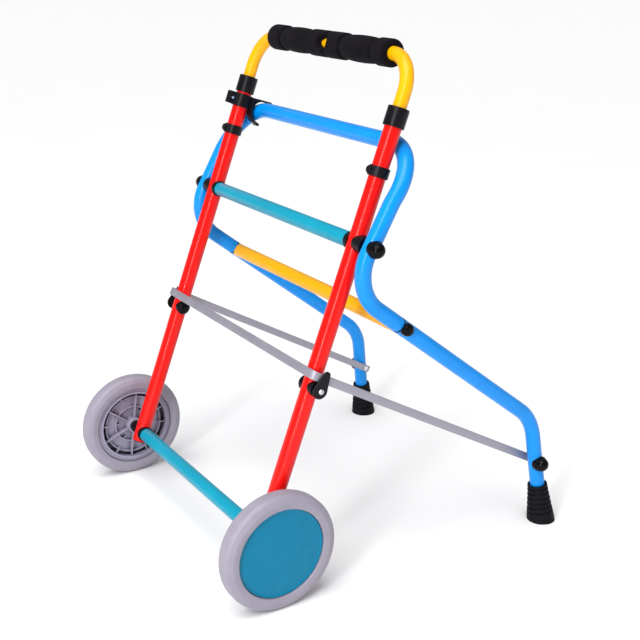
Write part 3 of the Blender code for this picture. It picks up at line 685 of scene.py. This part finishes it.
def upright_saddles(side, sign):
    """The washers at the crossbars' ends and the spacer between an upright and the bow."""
    face = UPRIGHT_X - UPRIGHT_RADIUS
    rim = 11 * MM
    for node, centre, bore in (("crossbar_washer", PIVOT, BOLT_RADIUS), ("axle_washer", AXLE, AXLE_RADIUS)):
        washer = saddle(sign, centre, face - 2.7 * MM, face + 4 * MM, rim, bore + GAP)
        show_turned(f"{node}_{side}", seated(washer, sign, -sign), "black_plastic")
    spacer = saddle(sign, PIVOT, UPRIGHT_X + 4 * MM, REAR_X - REAR_RADIUS - GAP, rim, BOLT_RADIUS + GAP)
    show_turned(f"pivot_spacer_{side}", seated(spacer, sign, sign), "black_plastic")


def ball_cap(node, sign, centre, tube_x, heading, tube_radius):
    """A saddle washer with a glossy ball over the bolt's end."""
    dome = 9.5 * MM
    flange = 10.5 * MM
    start = tube_x + 4.5 * MM
    rim = 7 * MM
    middle_ball = rim + 1 * MM
    profile = [(0, 0), (flange / 3, 0), (2 * flange / 3, 0), (flange, 0, 0.5 * MM), (flange, rim, 0.9 * MM),
               (dome - 0.7 * MM, rim + 0.2 * MM, 0.3 * MM)]
    profile += dome_points(dome, dome, middle_ball, 0) + [(0, middle_ball + dome)]
    bm = turned(profile, at_x(centre, sign * start), ALONG_X * sign)
    hollow(bm, at_x(centre, sign * tube_x), heading, tube_radius + GAP, sign)
    show_turned(node, bm, "black_plastic", BALL_FINISH)


def pivot_caps(side, sign):
    ball_cap(f"pivot_cap_{side}", sign, PIVOT, REAR_X, BOW_HEADING, REAR_RADIUS)


def collar(side, sign):
    """The sleeve on an upright's top, with a turned-in lip."""
    outer = 13 * MM
    half = 11.5 * MM
    lip = UPRIGHT_TOP - COLLAR_HEIGHT + GAP
    tube_room = UPRIGHT_RADIUS + GAP
    slide = HANDLE_RADIUS + GAP
    profile = [(tube_room, -half), (outer, -half, 0.5 * MM), (outer, half, 1.2 * MM),
               (slide, half, 0.4 * MM), (slide, lip), (tube_room, lip)]
    sleeve = turned(profile, on_upright(COLLAR_HEIGHT, 0, sign * UPRIGHT_X), ALONG_UPRIGHT)
    show_turned(f"top_collar_{side}", sleeve, "black_plastic")


def height_clip(side, sign):
    """The band with its nose, and the pull pin in it."""
    x = sign * UPRIGHT_X
    half = 6.3 * MM
    low = on_upright(CLIP_HEIGHT - half, 0, x)
    high = on_upright(CLIP_HEIGHT + half, 0, x)
    band = tube(12.6 * MM, UPRIGHT_RADIUS + GAP, low, high, 0.6 * MM)
    nose_length = 3 * MM
    nose = turned([(0, 0), (6 * MM, 0), (6 * MM, nose_length, 0.8 * MM), (0, nose_length)],
                  on_upright(CLIP_HEIGHT, -11 * MM, x), -BEHIND_UPRIGHT, 40)
    hole = rod(2.7 * MM, on_upright(CLIP_HEIGHT, -18 * MM, x), on_upright(CLIP_HEIGHT, -5 * MM, x))
    show(f"height_clip_{side}", moulded(joined("clip", [band, nose], [hole])), "black_plastic")
    shank = 2.4 * MM
    knob = 4.4 * MM
    tip = 9.1 * MM
    head = 14.3 * MM
    profile = [(0, tip), (shank, tip, 0.5 * MM), (shank, head), (knob, head, 0.3 * MM),
               (knob, head + 1.8 * MM, 0.8 * MM), (2.6 * MM, head + 2.8 * MM, 1.5 * MM), (0, head + 2.9 * MM)]
    pin = turned(profile, on_upright(CLIP_HEIGHT, 0, x), -BEHIND_UPRIGHT, 40)
    show_turned(f"height_pin_{side}", pin, "black_plastic")


# ---------------------------------------------------------------- latch

def hook_outline():
    """A C that opens backwards: a straight top, a short lower arm and a bead at its tip."""
    height = 491.2 * MM
    back = 27.2 * MM
    centre = on_upright(height, back)
    inner = 14.8 * MM
    outer = 18 * MM
    reach = 12 * MM
    arm_end = 262  # degrees, as in arc
    bead = 2.2 * MM
    tip_place = arc(centre, inner + bead + 0.6 * MM, arm_end, 270, 1)[0] + BEHIND_UPRIGHT * 2.5 * MM
    top = [on_upright(height + outer, back + reach), on_upright(LATCH_HEIGHT + 8.3 * MM, 8.7 * MM)]
    outside = arc(centre, outer, 180, arm_end, 20)
    tip = arc(tip_place, bead, 210, 480, 16)
    inside = arc(centre, inner, arm_end, 90, 28)
    return top + outside + tip + inside + [inside[-1] + BEHIND_UPRIGHT * reach]


def latch():
    """The clamp on the left upright: a ring, split ears with a screw, and the hook."""
    x = -UPRIGHT_X
    half = 9 * MM
    up = ALONG_UPRIGHT * half
    centre = on_upright(LATCH_HEIGHT, 0, x)
    ring = tube(13.5 * MM, UPRIGHT_RADIUS + GAP, centre - up, centre + up, 0.6 * MM)
    ear_size = (10 * MM, 12 * MM, 2 * half - 1 * MM)
    ears = block(on_upright(LATCH_HEIGHT, -17 * MM, x), ear_size, ALONG_UPRIGHT)
    hook = plate(hook_outline(), x + 3 * MM, x + 15 * MM)
    room = upright_room(400 * MM, 560 * MM, x)
    slit = block(on_upright(LATCH_HEIGHT, -19 * MM, x), (2 * MM, 14 * MM, 3 * half), ALONG_UPRIGHT)
    screw = on_upright(LATCH_HEIGHT, -17.5 * MM, x)
    hole = rod(2.3 * MM, screw - ALONG_X * 9 * MM, screw + ALONG_X * 9 * MM)
    clamp = joined("latch", [ring, ears, hook], [room, slit, hole])
    show("latch_clamp", moulded(clamp), "black_plastic")
    shank = 2 * MM
    head = 3.8 * MM
    seat = 5.3 * MM
    profile = [(0, -5.2 * MM), (shank, -5.2 * MM, 0.4 * MM), (shank, seat), (head, seat, 0.3 * MM),
               (head, 6.4 * MM, 1 * MM), (2.6 * MM, 7.6 * MM, 1 * MM), (0, 7.8 * MM)]
    body = turned(profile, screw, -ALONG_X, 40)
    show("latch_screw", crossed(body, screw - ALONG_X * 7.8 * MM, 4.2 * MM), "zinc_steel")


def crossed(head, top, span):
    """A screw or bolt with a cross recess in its head, whose top is at a point along X."""
    width = 0.9 * MM
    depth = 2.4 * MM
    slots = [block(top, (depth, width, span), heading) for heading in (ALONG_UPRIGHT, BEHIND_UPRIGHT)]
    return joined("screw", [head], slots)


# ---------------------------------------------------------------- brace and its brackets

def cheek_outline(centre, inset):
    """A teardrop: round about the bolt, with a straight front edge and a rounded top."""
    low = arc(centre, 10 * MM - inset, -200, 20, 36)
    top = centre + ALONG_UPRIGHT * 19.5 * MM + BEHIND_UPRIGHT * 2.5 * MM
    return low + arc(top, 5 * MM - inset, 15, 165, 16)


def cheek(centre, x_in, x_out):
    """The bracket's outer plate, with a chamfer round its outer face."""
    chamfer = 1.2 * MM
    outline = cheek_outline(centre, 0)
    levels = [(outline, x_in), (outline, x_out - math.copysign(chamfer, x_out)),
              (cheek_outline(centre, chamfer), x_out)]
    bm = bmesh.new()
    rings = [[bm.verts.new(at_x(p, x)) for p in points] for points, x in levels]
    bm.faces.new(rings[0])
    bm.faces.new(rings[-1])
    for first, second in zip(rings, rings[1:]):
        bridge_rings(bm, first, second)
    return bm


def bracket(side, sign):
    """The bracket that an arm of the brace rests in, with its bolt and inner cap."""
    centre = on_upright(BRACKET_HEIGHT)
    shank = 2.5 * MM
    cheek_in = BRACE_FRONT_X + BRACE_THICKNESS / 2 + 0.8 * MM
    cheek_out = cheek_in + 3.5 * MM
    seat_radius = 9.5 * MM
    seat_length = 10.5 * MM
    profile = [(0, 0), (seat_radius, 0, 0.5 * MM), (seat_radius, seat_length, 1.2 * MM), (0, seat_length)]
    seat = turned(profile, at_x(centre, sign * 182 * MM), ALONG_X * sign)
    boss = rod(4.8 * MM, at_x(centre, sign * 191 * MM), at_x(centre, sign * (cheek_in + 1 * MM)), 40)
    outer = cheek(centre, sign * cheek_in, sign * cheek_out)
    room = upright_room(100 * MM, 300 * MM, sign * UPRIGHT_X)
    hole = rod(shank + GAP, at_x(centre, sign * 180 * MM), at_x(centre, sign * (cheek_out + 2 * MM)), 40)
    body = joined("bracket", [seat, boss, outer], [room, hole])
    show(f"brace_bracket_{side}", moulded(body, 0.45 * MM, 2), "black_plastic")
    tail = 162 * MM
    head = 3.6 * MM
    end = cheek_out + GAP
    top = end + 2.4 * MM
    profile = [(0, tail), (shank, tail, 0.4 * MM), (shank, end), (head, end, 0.2 * MM),
               (head, end + 1 * MM, 0.8 * MM), (2.4 * MM, end + 2.2 * MM, 0.8 * MM), (0, top)]
    bolt = turned(profile, centre, ALONG_X * sign, 40)
    show(f"bracket_bolt_{side}", crossed(bolt, at_x(centre, sign * top), head), "zinc_steel")
    inner_cap(side, sign, centre)


def inner_cap(side, sign, centre):
    """The low glossy dome over the bolt's end, inside the upright."""
    flange = 9.8 * MM
    dome = 9 * MM
    rise = 0.6 * dome
    face = UPRIGHT_X - 4 * MM
    rim = face - (UPRIGHT_X - UPRIGHT_RADIUS - 1.5 * MM)
    profile = [(0, 0), (3.3 * MM, 0), (6.6 * MM, 0), (flange, 0, 0.4 * MM), (flange, rim, 0.7 * MM)]
    profile += [(dome, rim)] + dome_points(dome, rise, rim, 1) + [(0, rim + rise)]
    cap = turned(profile, at_x(centre, sign * face), -ALONG_X * sign)
    show_turned(f"bracket_cap_{side}", seated(cap, sign, -sign), "black_plastic", BALL_FINISH)


def brace():
    """The flat bar: a front run and an arm back to each leg, with rounded ends and soft edges."""
    end = BRACE_PIN + BRACE_BACKWARDS * BRACE_OVERHANG
    route = [(end + ALONG_X * -BRACE_REAR_X, 0), (BRACE_FRONT + ALONG_X * -BRACE_FRONT_X, BRACE_BEND),
             (BRACE_FRONT + ALONG_X * BRACE_FRONT_X, BRACE_BEND), (end + ALONG_X * BRACE_REAR_X, 0)]
    points = rounded_path(route)
    width = ALONG_X.cross(BRACE_BACKWARDS).normalized()
    half = BRACE_WIDTH / 2
    stops = [(0.02, 0.8), (0.1, 0.92), (0.3, 0.99)]  # shares of half the width: along, and across
    corners = ((-1, -1), (1, -1), (1, 1), (-1, 1))
    start_run = (points[1] - points[0]).normalized()
    end_run = (points[-2] - points[-1]).normalized()
    stations = [(points[0] + start_run * half * t, w) for t, w in stops]
    stations += [(points[0] + start_run * half, 1.0)] + [(p, 1.0) for p in points[1:-1]]
    stations += [(points[-1] + end_run * half, 1.0)]
    stations += [(points[-1] + end_run * half * t, w) for t, w in reversed(stops)]
    bm = bmesh.new()
    rings = []
    for i, (point, share) in enumerate(stations):
        tangent = (stations[min(i + 1, len(stations) - 1)][0] - stations[max(i - 1, 0)][0]).normalized()
        through = tangent.cross(width).normalized() * BRACE_THICKNESS / 2
        edge = width * half * share
        rings.append([bm.verts.new(point + a * through + b * edge) for a, b in corners])
    for first, second in zip(rings, rings[1:]):
        bridge_rings(bm, first, second)
    bm.faces.new(rings[0])
    bm.faces.new(rings[-1])
    show("brace", bevelled(object_of("brace", bm), 0.6 * MM), "aluminium")


# ---------------------------------------------------------------- wheels

def tyre(side, centre, axis):
    """A soft round tyre with a lip round the hub disc."""
    half = size(f"tyre_{side}").x / 2
    outer = size(f"tyre_{side}").z / 2
    inner = 57.5 * MM
    face = [(inner, half - 1.8 * MM), (inner + 0.6 * MM, half - 0.9 * MM, 0.5 * MM),
            (inner + 3 * MM, half - 0.5 * MM, 1.2 * MM), (outer - 9 * MM, half, 7 * MM),
            (outer - 1.6 * MM, half - 3.4 * MM, 5 * MM), (outer, half - 8 * MM, 4 * MM)]
    profile = [(point[0], -point[1]) + tuple(point[2:]) for point in face] + face[::-1]
    show_turned(f"tyre_{side}", turned(profile, centre, axis, 120), "tyre_grey")


def rib(centre, axis, angle, start, end, low, high, thickness=1.6 * MM):
    """A radial rib of a hub, between two radii and two distances along the axis."""
    bm = bmesh.new()
    spoke = Vector((0, math.cos(angle), math.sin(angle)))
    other = axis.cross(spoke)
    turn = Matrix((spoke, other, axis)).transposed().to_4x4()
    middle_point = centre + spoke * (start + end) / 2 + axis * (low + high) / 2
    extent = Matrix.Diagonal((end - start, thickness, high - low, 1))
    bmesh.ops.create_cube(bm, size=1.0, matrix=Matrix.Translation(middle_point) @ turn @ extent)
    return bm


def with_meshes(bodies):
    """Several separate closed bodies as one bmesh."""
    made = bmesh.new()
    for body in bodies:
        mesh = bpy.data.meshes.new("part")
        body.to_mesh(mesh)
        body.free()
        made.from_mesh(mesh)
        bpy.data.meshes.remove(mesh)
    return made


def hub(side, centre, axis):
    """The hub: rim, web, boss, two inner rings and the ribs that show from inside."""
    bore = AXLE_RADIUS + GAP
    boss = 11 * MM
    ring = 26 * MM
    wide_ring = 42 * MM
    rim_inside = 49.5 * MM
    lip = 52.5 * MM
    rim = 57.2 * MM
    back = -11 * MM
    web = 1 * MM
    gutter = 2.4 * MM
    disc_seat = 4 * MM
    front = 7 * MM
    soft = 0.6 * MM
    crisp = 0.4 * MM
    profile = [(bore, -12 * MM), (boss, -12 * MM, soft), (boss, web, 1 * MM), (ring, web, soft),
               (ring, -3 * MM, crisp), (ring + 2 * MM, -3 * MM, crisp), (ring + 2 * MM, web, soft),
               (wide_ring, web, soft), (wide_ring, -4.5 * MM, soft), (44 * MM, -4.5 * MM, soft),
               (44 * MM, gutter, crisp), (rim_inside, gutter, crisp), (rim_inside, back, soft),
               (lip, back, soft), (lip, back + 2 * MM, soft), (rim, back + 2 * MM, soft), (rim, front, soft),
               (rim_inside, front, soft), (rim_inside, disc_seat, 1 * MM), (bore, disc_seat)]
    body = turned(profile, centre, axis, 96)
    first_rib = 23.5  # degrees
    ribs = []
    for k in range(12):
        angle = math.radians(30 * k + first_rib)
        if k % 2 == 0:
            ribs.append(rib(centre, axis, angle, 10 * MM, 50.5 * MM, -7.5 * MM, 3 * MM))
        else:
            ribs.append(rib(centre, axis, angle, 40 * MM, 50.5 * MM, -7 * MM, 3 * MM))
            ribs.append(rib(centre, axis, angle, 21 * MM, 27 * MM, -2.5 * MM, 3 * MM))
    show(f"wheel_hub_{side}", joined("hub", [body, with_meshes(ribs)]), "hub_grey")


def hub_disc(side, centre, axis):
    """The pressed-in teal disc: a low dome in a raised lip."""
    cover = 57 * MM
    back = 7.3 * MM
    lip = 9.6 * MM
    profile = [(0, back), (cover, back, 0.3 * MM), (cover, lip, 0.7 * MM), (cover - 2.2 * MM, lip, 0.6 * MM),
               (cover - 3.4 * MM, 8.9 * MM, 0.6 * MM), (40 * MM, 9.7 * MM, 30 * MM),
               (20 * MM, 10.3 * MM, 30 * MM), (0, 10.5 * MM)]
    show_turned(f"hub_disc_{side}", turned(profile, centre, axis, 120), "disc_teal")


def wheel(side, sign):
    """A wheel and the spacer between it and its upright."""
    axis = ALONG_X * sign
    centre = AXLE + axis * WHEEL_X
    tyre(side, centre, axis)
    hub(side, centre, axis)
    hub_disc(side, centre, axis)
    start = AXLE + axis * (UPRIGHT_X + UPRIGHT_RADIUS + GAP)
    end = AXLE + axis * (WHEEL_X - 12.3 * MM)
    spacer = tube(8.5 * MM, AXLE_RADIUS + GAP, start, end, 0.6 * MM)
    show_turned(f"wheel_spacer_{side}", spacer, "black_plastic")


# ---------------------------------------------------------------- handle

def handle():
    x = UPRIGHT_X
    corners = [(on_upright(HANDLE_BOTTOM, 0, -x), 0), (on_upright(GRIP_HEIGHT, 0, -x), HANDLE_BEND),
               (on_upright(GRIP_HEIGHT, 0, x), HANDLE_BEND), (on_upright(HANDLE_BOTTOM, 0, x), 0)]
    show_turned("handle_tube", bent_tube(corners, HANDLE_RADIUS, HANDLE_BORE), "yellow_paint")


def grip(side, sign):
    """One half of the foam grip: soft cuffs, a rolled groove by each, and a barrelled middle."""
    low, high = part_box(f"grip_{side}")
    start = min(abs(low.x), abs(high.x))
    length = high.x - low.x
    radius = size(f"grip_{side}").z / 2 - 0.2 * MM
    neck = radius - 3.3 * MM
    bore = HANDLE_RADIUS + GAP
    inner_cuff = 36 * MM
    outer_cuff = {"left": 30 * MM, "right": 25 * MM}[side]
    groove = 2.2 * MM
    run_start = inner_cuff + groove
    run = length - inner_cuff - outer_cuff - 2 * groove
    barrel = [(neck + 0.8 * MM + 2.2 * MM * math.sin(math.pi * k / 12) ** 0.7, run_start + run * k / 12)
              for k in range(1, 12)]
    profile = ([(bore, 0, 0.6 * MM), (radius, 0, 3.5 * MM), (radius, inner_cuff - 1 * MM, 3 * MM),
                (neck, inner_cuff + groove / 2, 0.8 * MM)] + barrel
               + [(neck, length - outer_cuff - groove / 2, 0.8 * MM),
                  (radius, length - outer_cuff + 1 * MM, 3 * MM), (radius, length, 5 * MM),
                  (bore + 1.2 * MM, length, 1.2 * MM), (bore, length - 2 * MM)])
    bm = turned(profile, at_x(on_upright(GRIP_HEIGHT), sign * start), ALONG_X * sign, 72)
    made = show(f"grip_{side}", joined("grip", [bm], [grip_opening(radius)]), "black_foam")


def grip_opening(radius):
    """The space where the grip's halves part at the front, so that the tube shows."""
    bm = bmesh.new()
    bmesh.ops.create_uvsphere(bm, u_segments=40, v_segments=24, radius=1.0)
    outwards = Vector((0, -0.96, 0.28))
    place = aligned(on_upright(GRIP_HEIGHT, 0, 1 * MM) + outwards * radius, outwards)
    turn = Matrix.Diagonal((12 * MM, 11 * MM, 14 * MM, 1))
    bm.transform(place @ turn)
    return bm


# ---------------------------------------------------------------- rear frame

def rear_bow():
    """The blue tube from one leg joint over the top to the other."""
    corners = []
    for sign in SIDES.values():
        offset = ALONG_X * sign * REAR_X
        run = [(SEAM + offset, 0), (BOW_ELBOW + offset, BOW_ELBOW_RADIUS),
               (BOW_SHOULDER + offset, BOW_SHOULDER_RADIUS),
               (at_x(BOW_TOP, sign * REAR_X), BOW_CORNER_RADIUS)]
        corners += run if sign < 0 else run[::-1]
    show_turned("rear_bow", bent_tube(corners, REAR_RADIUS, REAR_BORE), "blue_paint")


def rear_legs():
    start = SEAM + DIAGONAL * 2.4 * MM
    for side, sign in SIDES.items():
        path = [(at_x(start, sign * REAR_X), 0), (at_x(LEG_KNEE, sign * REAR_X), LEG_KNEE_RADIUS),
                (leg_centre(13 * MM, sign), 0)]
        show_turned(f"rear_leg_{side}", bent_tube(path, REAR_RADIUS, REAR_BORE), "blue_paint")


def rear_crossbar():
    """The yellow bar between the leg joints, with ends hollowed to their tubes."""
    half = REAR_X - 5 * MM
    length = 2 * half
    bore = BOLT_RADIUS + GAP
    middle_radius = (CROSSBAR_RADIUS + bore) / 2
    profile = [(bore, 0), (middle_radius, 0), (CROSSBAR_RADIUS, 0), (CROSSBAR_RADIUS, 20 * MM),
               (CROSSBAR_RADIUS, length - 20 * MM), (CROSSBAR_RADIUS, length),
               (middle_radius, length), (bore, length)]
    bar = turned(profile, at_x(JOINT_BOLT, -half), ALONG_X)
    for sign in SIDES.values():
        hollow(bar, at_x(JOINT_BOLT, sign * REAR_X), DIAGONAL, REAR_RADIUS + GAP, -sign)
    show_turned("rear_crossbar", bar, "yellow_paint")


def leg_joint(side, sign):
    """The sleeve whose rim shows in the seam, and the domed bolt through the joint."""
    x = sign * REAR_X
    inside = REAR_BORE - 2 * GAP
    half = 22 * MM
    seam = 2.1 * MM
    rim = REAR_RADIUS + 0.2 * MM
    bore = 5.5 * MM
    profile = [(bore, -half), (inside, -half, 0.5 * MM), (inside, GAP), (rim, GAP, 0.4 * MM),
               (rim, seam, 0.4 * MM), (inside, seam), (inside, half, 0.5 * MM), (bore, half)]
    show_turned(f"leg_joint_sleeve_{side}", turned(profile, at_x(SEAM, x), DIAGONAL), "black_plastic")
    head_in = REAR_X + 6 * MM
    head_out = REAR_X + REAR_RADIUS + 2 * MM
    head = 8 * MM
    shank = 2.5 * MM
    length = head_out - head_in
    profile = [(0, -26 * MM), (shank, -26 * MM, 0.4 * MM), (shank, 0), (head / 2, 0), (head, 0, 0.5 * MM),
               (head, length, 0.8 * MM), (6.8 * MM, length + 3 * MM, 1.5 * MM),
               (4 * MM, length + 4.6 * MM, 2 * MM), (0, length + 5 * MM)]
    bm = turned(profile, at_x(JOINT_BOLT, sign * head_in), ALONG_X * sign)
    for vert in bm.verts:
        spoke = (vert.co - JOINT_BOLT) * Vector((0, 1, 1))
        if spoke.length > shank + 0.01 * MM:
            beside = spoke.dot(DIAGONAL.cross(ALONG_X))
            floor = REAR_X + math.sqrt(max(0.0, (REAR_RADIUS + GAP) ** 2 - beside ** 2))
            if abs(vert.co.x) < floor:
                vert.co.x = sign * floor
    show_turned(f"leg_joint_bolt_{side}", bm, "black_plastic", BALL_FINISH)


def brace_pin(side, sign):
    """The pin that the brace turns on, and the cap over its outer end."""
    tube_x = leg_centre(BRACE_PIN.z).x
    inside = BRACE_REAR_X - BRACE_THICKNESS / 2 - 0.5 * MM
    outside = tube_x + 14 * MM
    head = 4 * MM
    profile = [(0, inside - 1.3 * MM), (head, inside - 1.3 * MM, 0.5 * MM),
               (head, inside - 0.4 * MM, 0.1 * MM), (BOLT_RADIUS, inside - 0.4 * MM),
               (BOLT_RADIUS, outside), (0, outside)]
    show_turned(f"brace_pin_{side}", turned(profile, at_x(BRACE_PIN, 0), ALONG_X * sign, 40), "zinc_steel")
    ball_cap(f"brace_pin_cap_{side}", sign, BRACE_PIN, tube_x, leg_heading(sign), REAR_RADIUS)


def foot_tip(side, sign):
    """A ribbed rubber tip: a tall base ring, five rolls and a lip, cut flat on the floor."""
    growth = (FOOT_BASE_RADIUS - FOOT_TOP_RADIUS) / FOOT_LENGTH

    def skin(distance):
        return FOOT_BASE_RADIUS - growth * distance

    below = 8 * MM
    base = 15 * MM
    lip = 5 * MM
    rolls = 5
    pitch = (FOOT_LENGTH - lip - base) / rolls
    depth = 2 * MM
    bore = REAR_RADIUS + GAP
    floor = 12 * MM
    profile = [(0, -below), (skin(-below), -below), (skin(0.8 * MM) - 0.6 * MM, 0.2 * MM),
               (skin(2 * MM), 1.4 * MM, 0.8 * MM), (skin(base), base, 0.8 * MM)]
    for roll in range(rolls):
        for k in range(8):
            bulge = math.sin(math.pi * k / 8) ** 0.6
            distance = base + pitch * (roll + k / 8)
            profile.append((skin(distance) - depth * (1 - bulge), distance))
    top = FOOT_LENGTH
    profile += [(skin(top - lip) - depth, top - lip), (skin(top - lip), top - lip + 0.5 * MM, 0.6 * MM),
                (skin(top), top, 0.8 * MM), (bore + 0.6 * MM, top, 0.5 * MM), (bore, top - 1.5 * MM),
                (bore, floor), (0, floor)]
    bm = turned(profile, leg_centre(0, sign), leg_heading(sign), 64)
    cut = bmesh.ops.bisect_plane(bm, geom=bm.verts[:] + bm.edges[:] + bm.faces[:], plane_co=(0, 0, 0),
                                 plane_no=(0, 0, -1), clear_outer=True)
    rim = [part for part in cut["geom_cut"] if isinstance(part, bmesh.types.BMEdge)]
    bmesh.ops.contextual_create(bm, geom=rim)
    show_turned(f"foot_tip_{side}", bm, "black_rubber")


# ---------------------------------------------------------------- kept CAD nodes

def finish_kept_nodes():
    """The hidden shafts stay as the CAD has them, in zinc plate."""
    kept = ["axle"]
    for side in SIDES:
        kept += [f"pivot_bolt_{side}", f"wheel_retainer_{side}"]
    for node in kept:
        mesh = frame["nodes"][node].data
        mesh.materials.clear()
        mesh.materials.append(FINISHES["zinc_steel"])


# ---------------------------------------------------------------- stage, light and camera

def stage():
    """A pale floor that runs out of view."""
    reach = 30.0
    bm = bmesh.new()
    bmesh.ops.create_grid(bm, x_segments=8, y_segments=8, size=reach)
    floor = object_of("floor", bm)
    floor.data.materials.append(floor_finish("pale_floor", (0.93, 0.93, 0.93)))


def light(name, kind, energy, heading):
    """A light that shines along a heading."""
    data = bpy.data.lights.new(name, kind)
    data.energy = energy
    made = bpy.data.objects.new(name, data)
    bpy.context.scene.collection.objects.link(made)
    made.rotation_euler = heading.to_track_quat("-Z", "Y").to_euler()
    return made


def lights():
    """A pale surround, a broad light overhead and a tall soft box to the camera's left."""
    world = bpy.data.worlds.new("studio")
    world.use_nodes = True
    back = world.node_tree.nodes["Background"]
    back.inputs["Color"].default_value = (0.98, 0.99, 1.0, 1)
    back.inputs["Strength"].default_value = 0.32
    bpy.context.scene.world = world
    overhead = light("overhead", "SUN", 2.55, Vector((-0.2, 0.35, -1)))
    overhead.data.angle = math.radians(50)
    place = Vector((1.47, -2.14, 1.25))
    soft_box = light("soft_box", "AREA", 42, Vector((0, 0, 0.3)) - place)
    soft_box.location = place
    soft_box.data.shape = "RECTANGLE"
    soft_box.data.size = 0.28
    soft_box.data.size_y = 2.4


CAMERA_PLACE = Vector((1.2105, AXLE.y - 0.5802, 0.7497))
CAMERA_AZIMUTH = math.radians(57.46)
CAMERA_ELEVATION = math.radians(18.6)
CAMERA_ROLL = math.radians(0.76)
CAMERA_LENS = 62.3


def camera():
    azimuth, elevation, roll = CAMERA_AZIMUTH, CAMERA_ELEVATION, CAMERA_ROLL
    back = Vector((math.sin(azimuth) * math.cos(elevation), -math.cos(azimuth) * math.cos(elevation),
                   math.sin(elevation)))
    right = Vector((math.cos(azimuth), math.sin(azimuth), 0))
    up = back.cross(right)
    right, up = (right * math.cos(roll) + up * math.sin(roll), up * math.cos(roll) - right * math.sin(roll))
    data = bpy.data.cameras.new("camera")
    data.lens = CAMERA_LENS
    data.sensor_width = 36
    data.clip_end = 100
    made = bpy.data.objects.new("camera", data)
    made.matrix_world = Matrix.Translation(CAMERA_PLACE) @ Matrix((right, up, back)).transposed().to_4x4()
    bpy.context.scene.collection.objects.link(made)
    bpy.context.scene.camera = made


# ---------------------------------------------------------------- assembly

def main():
    camera()
    lights()
    stage()
    bpy.context.scene.view_settings.view_transform = "Standard"
    crossbars()
    latch()
    brace()
    handle()
    rear_bow()
    rear_legs()
    rear_crossbar()
    for side, sign in SIDES.items():
        upright(side, sign)
        upright_saddles(side, sign)
        pivot_caps(side, sign)
        collar(side, sign)
        height_clip(side, sign)
        bracket(side, sign)
        wheel(side, sign)
        grip(side, sign)
        leg_joint(side, sign)
        brace_pin(side, sign)
        foot_tip(side, sign)
    finish_kept_nodes()


main()
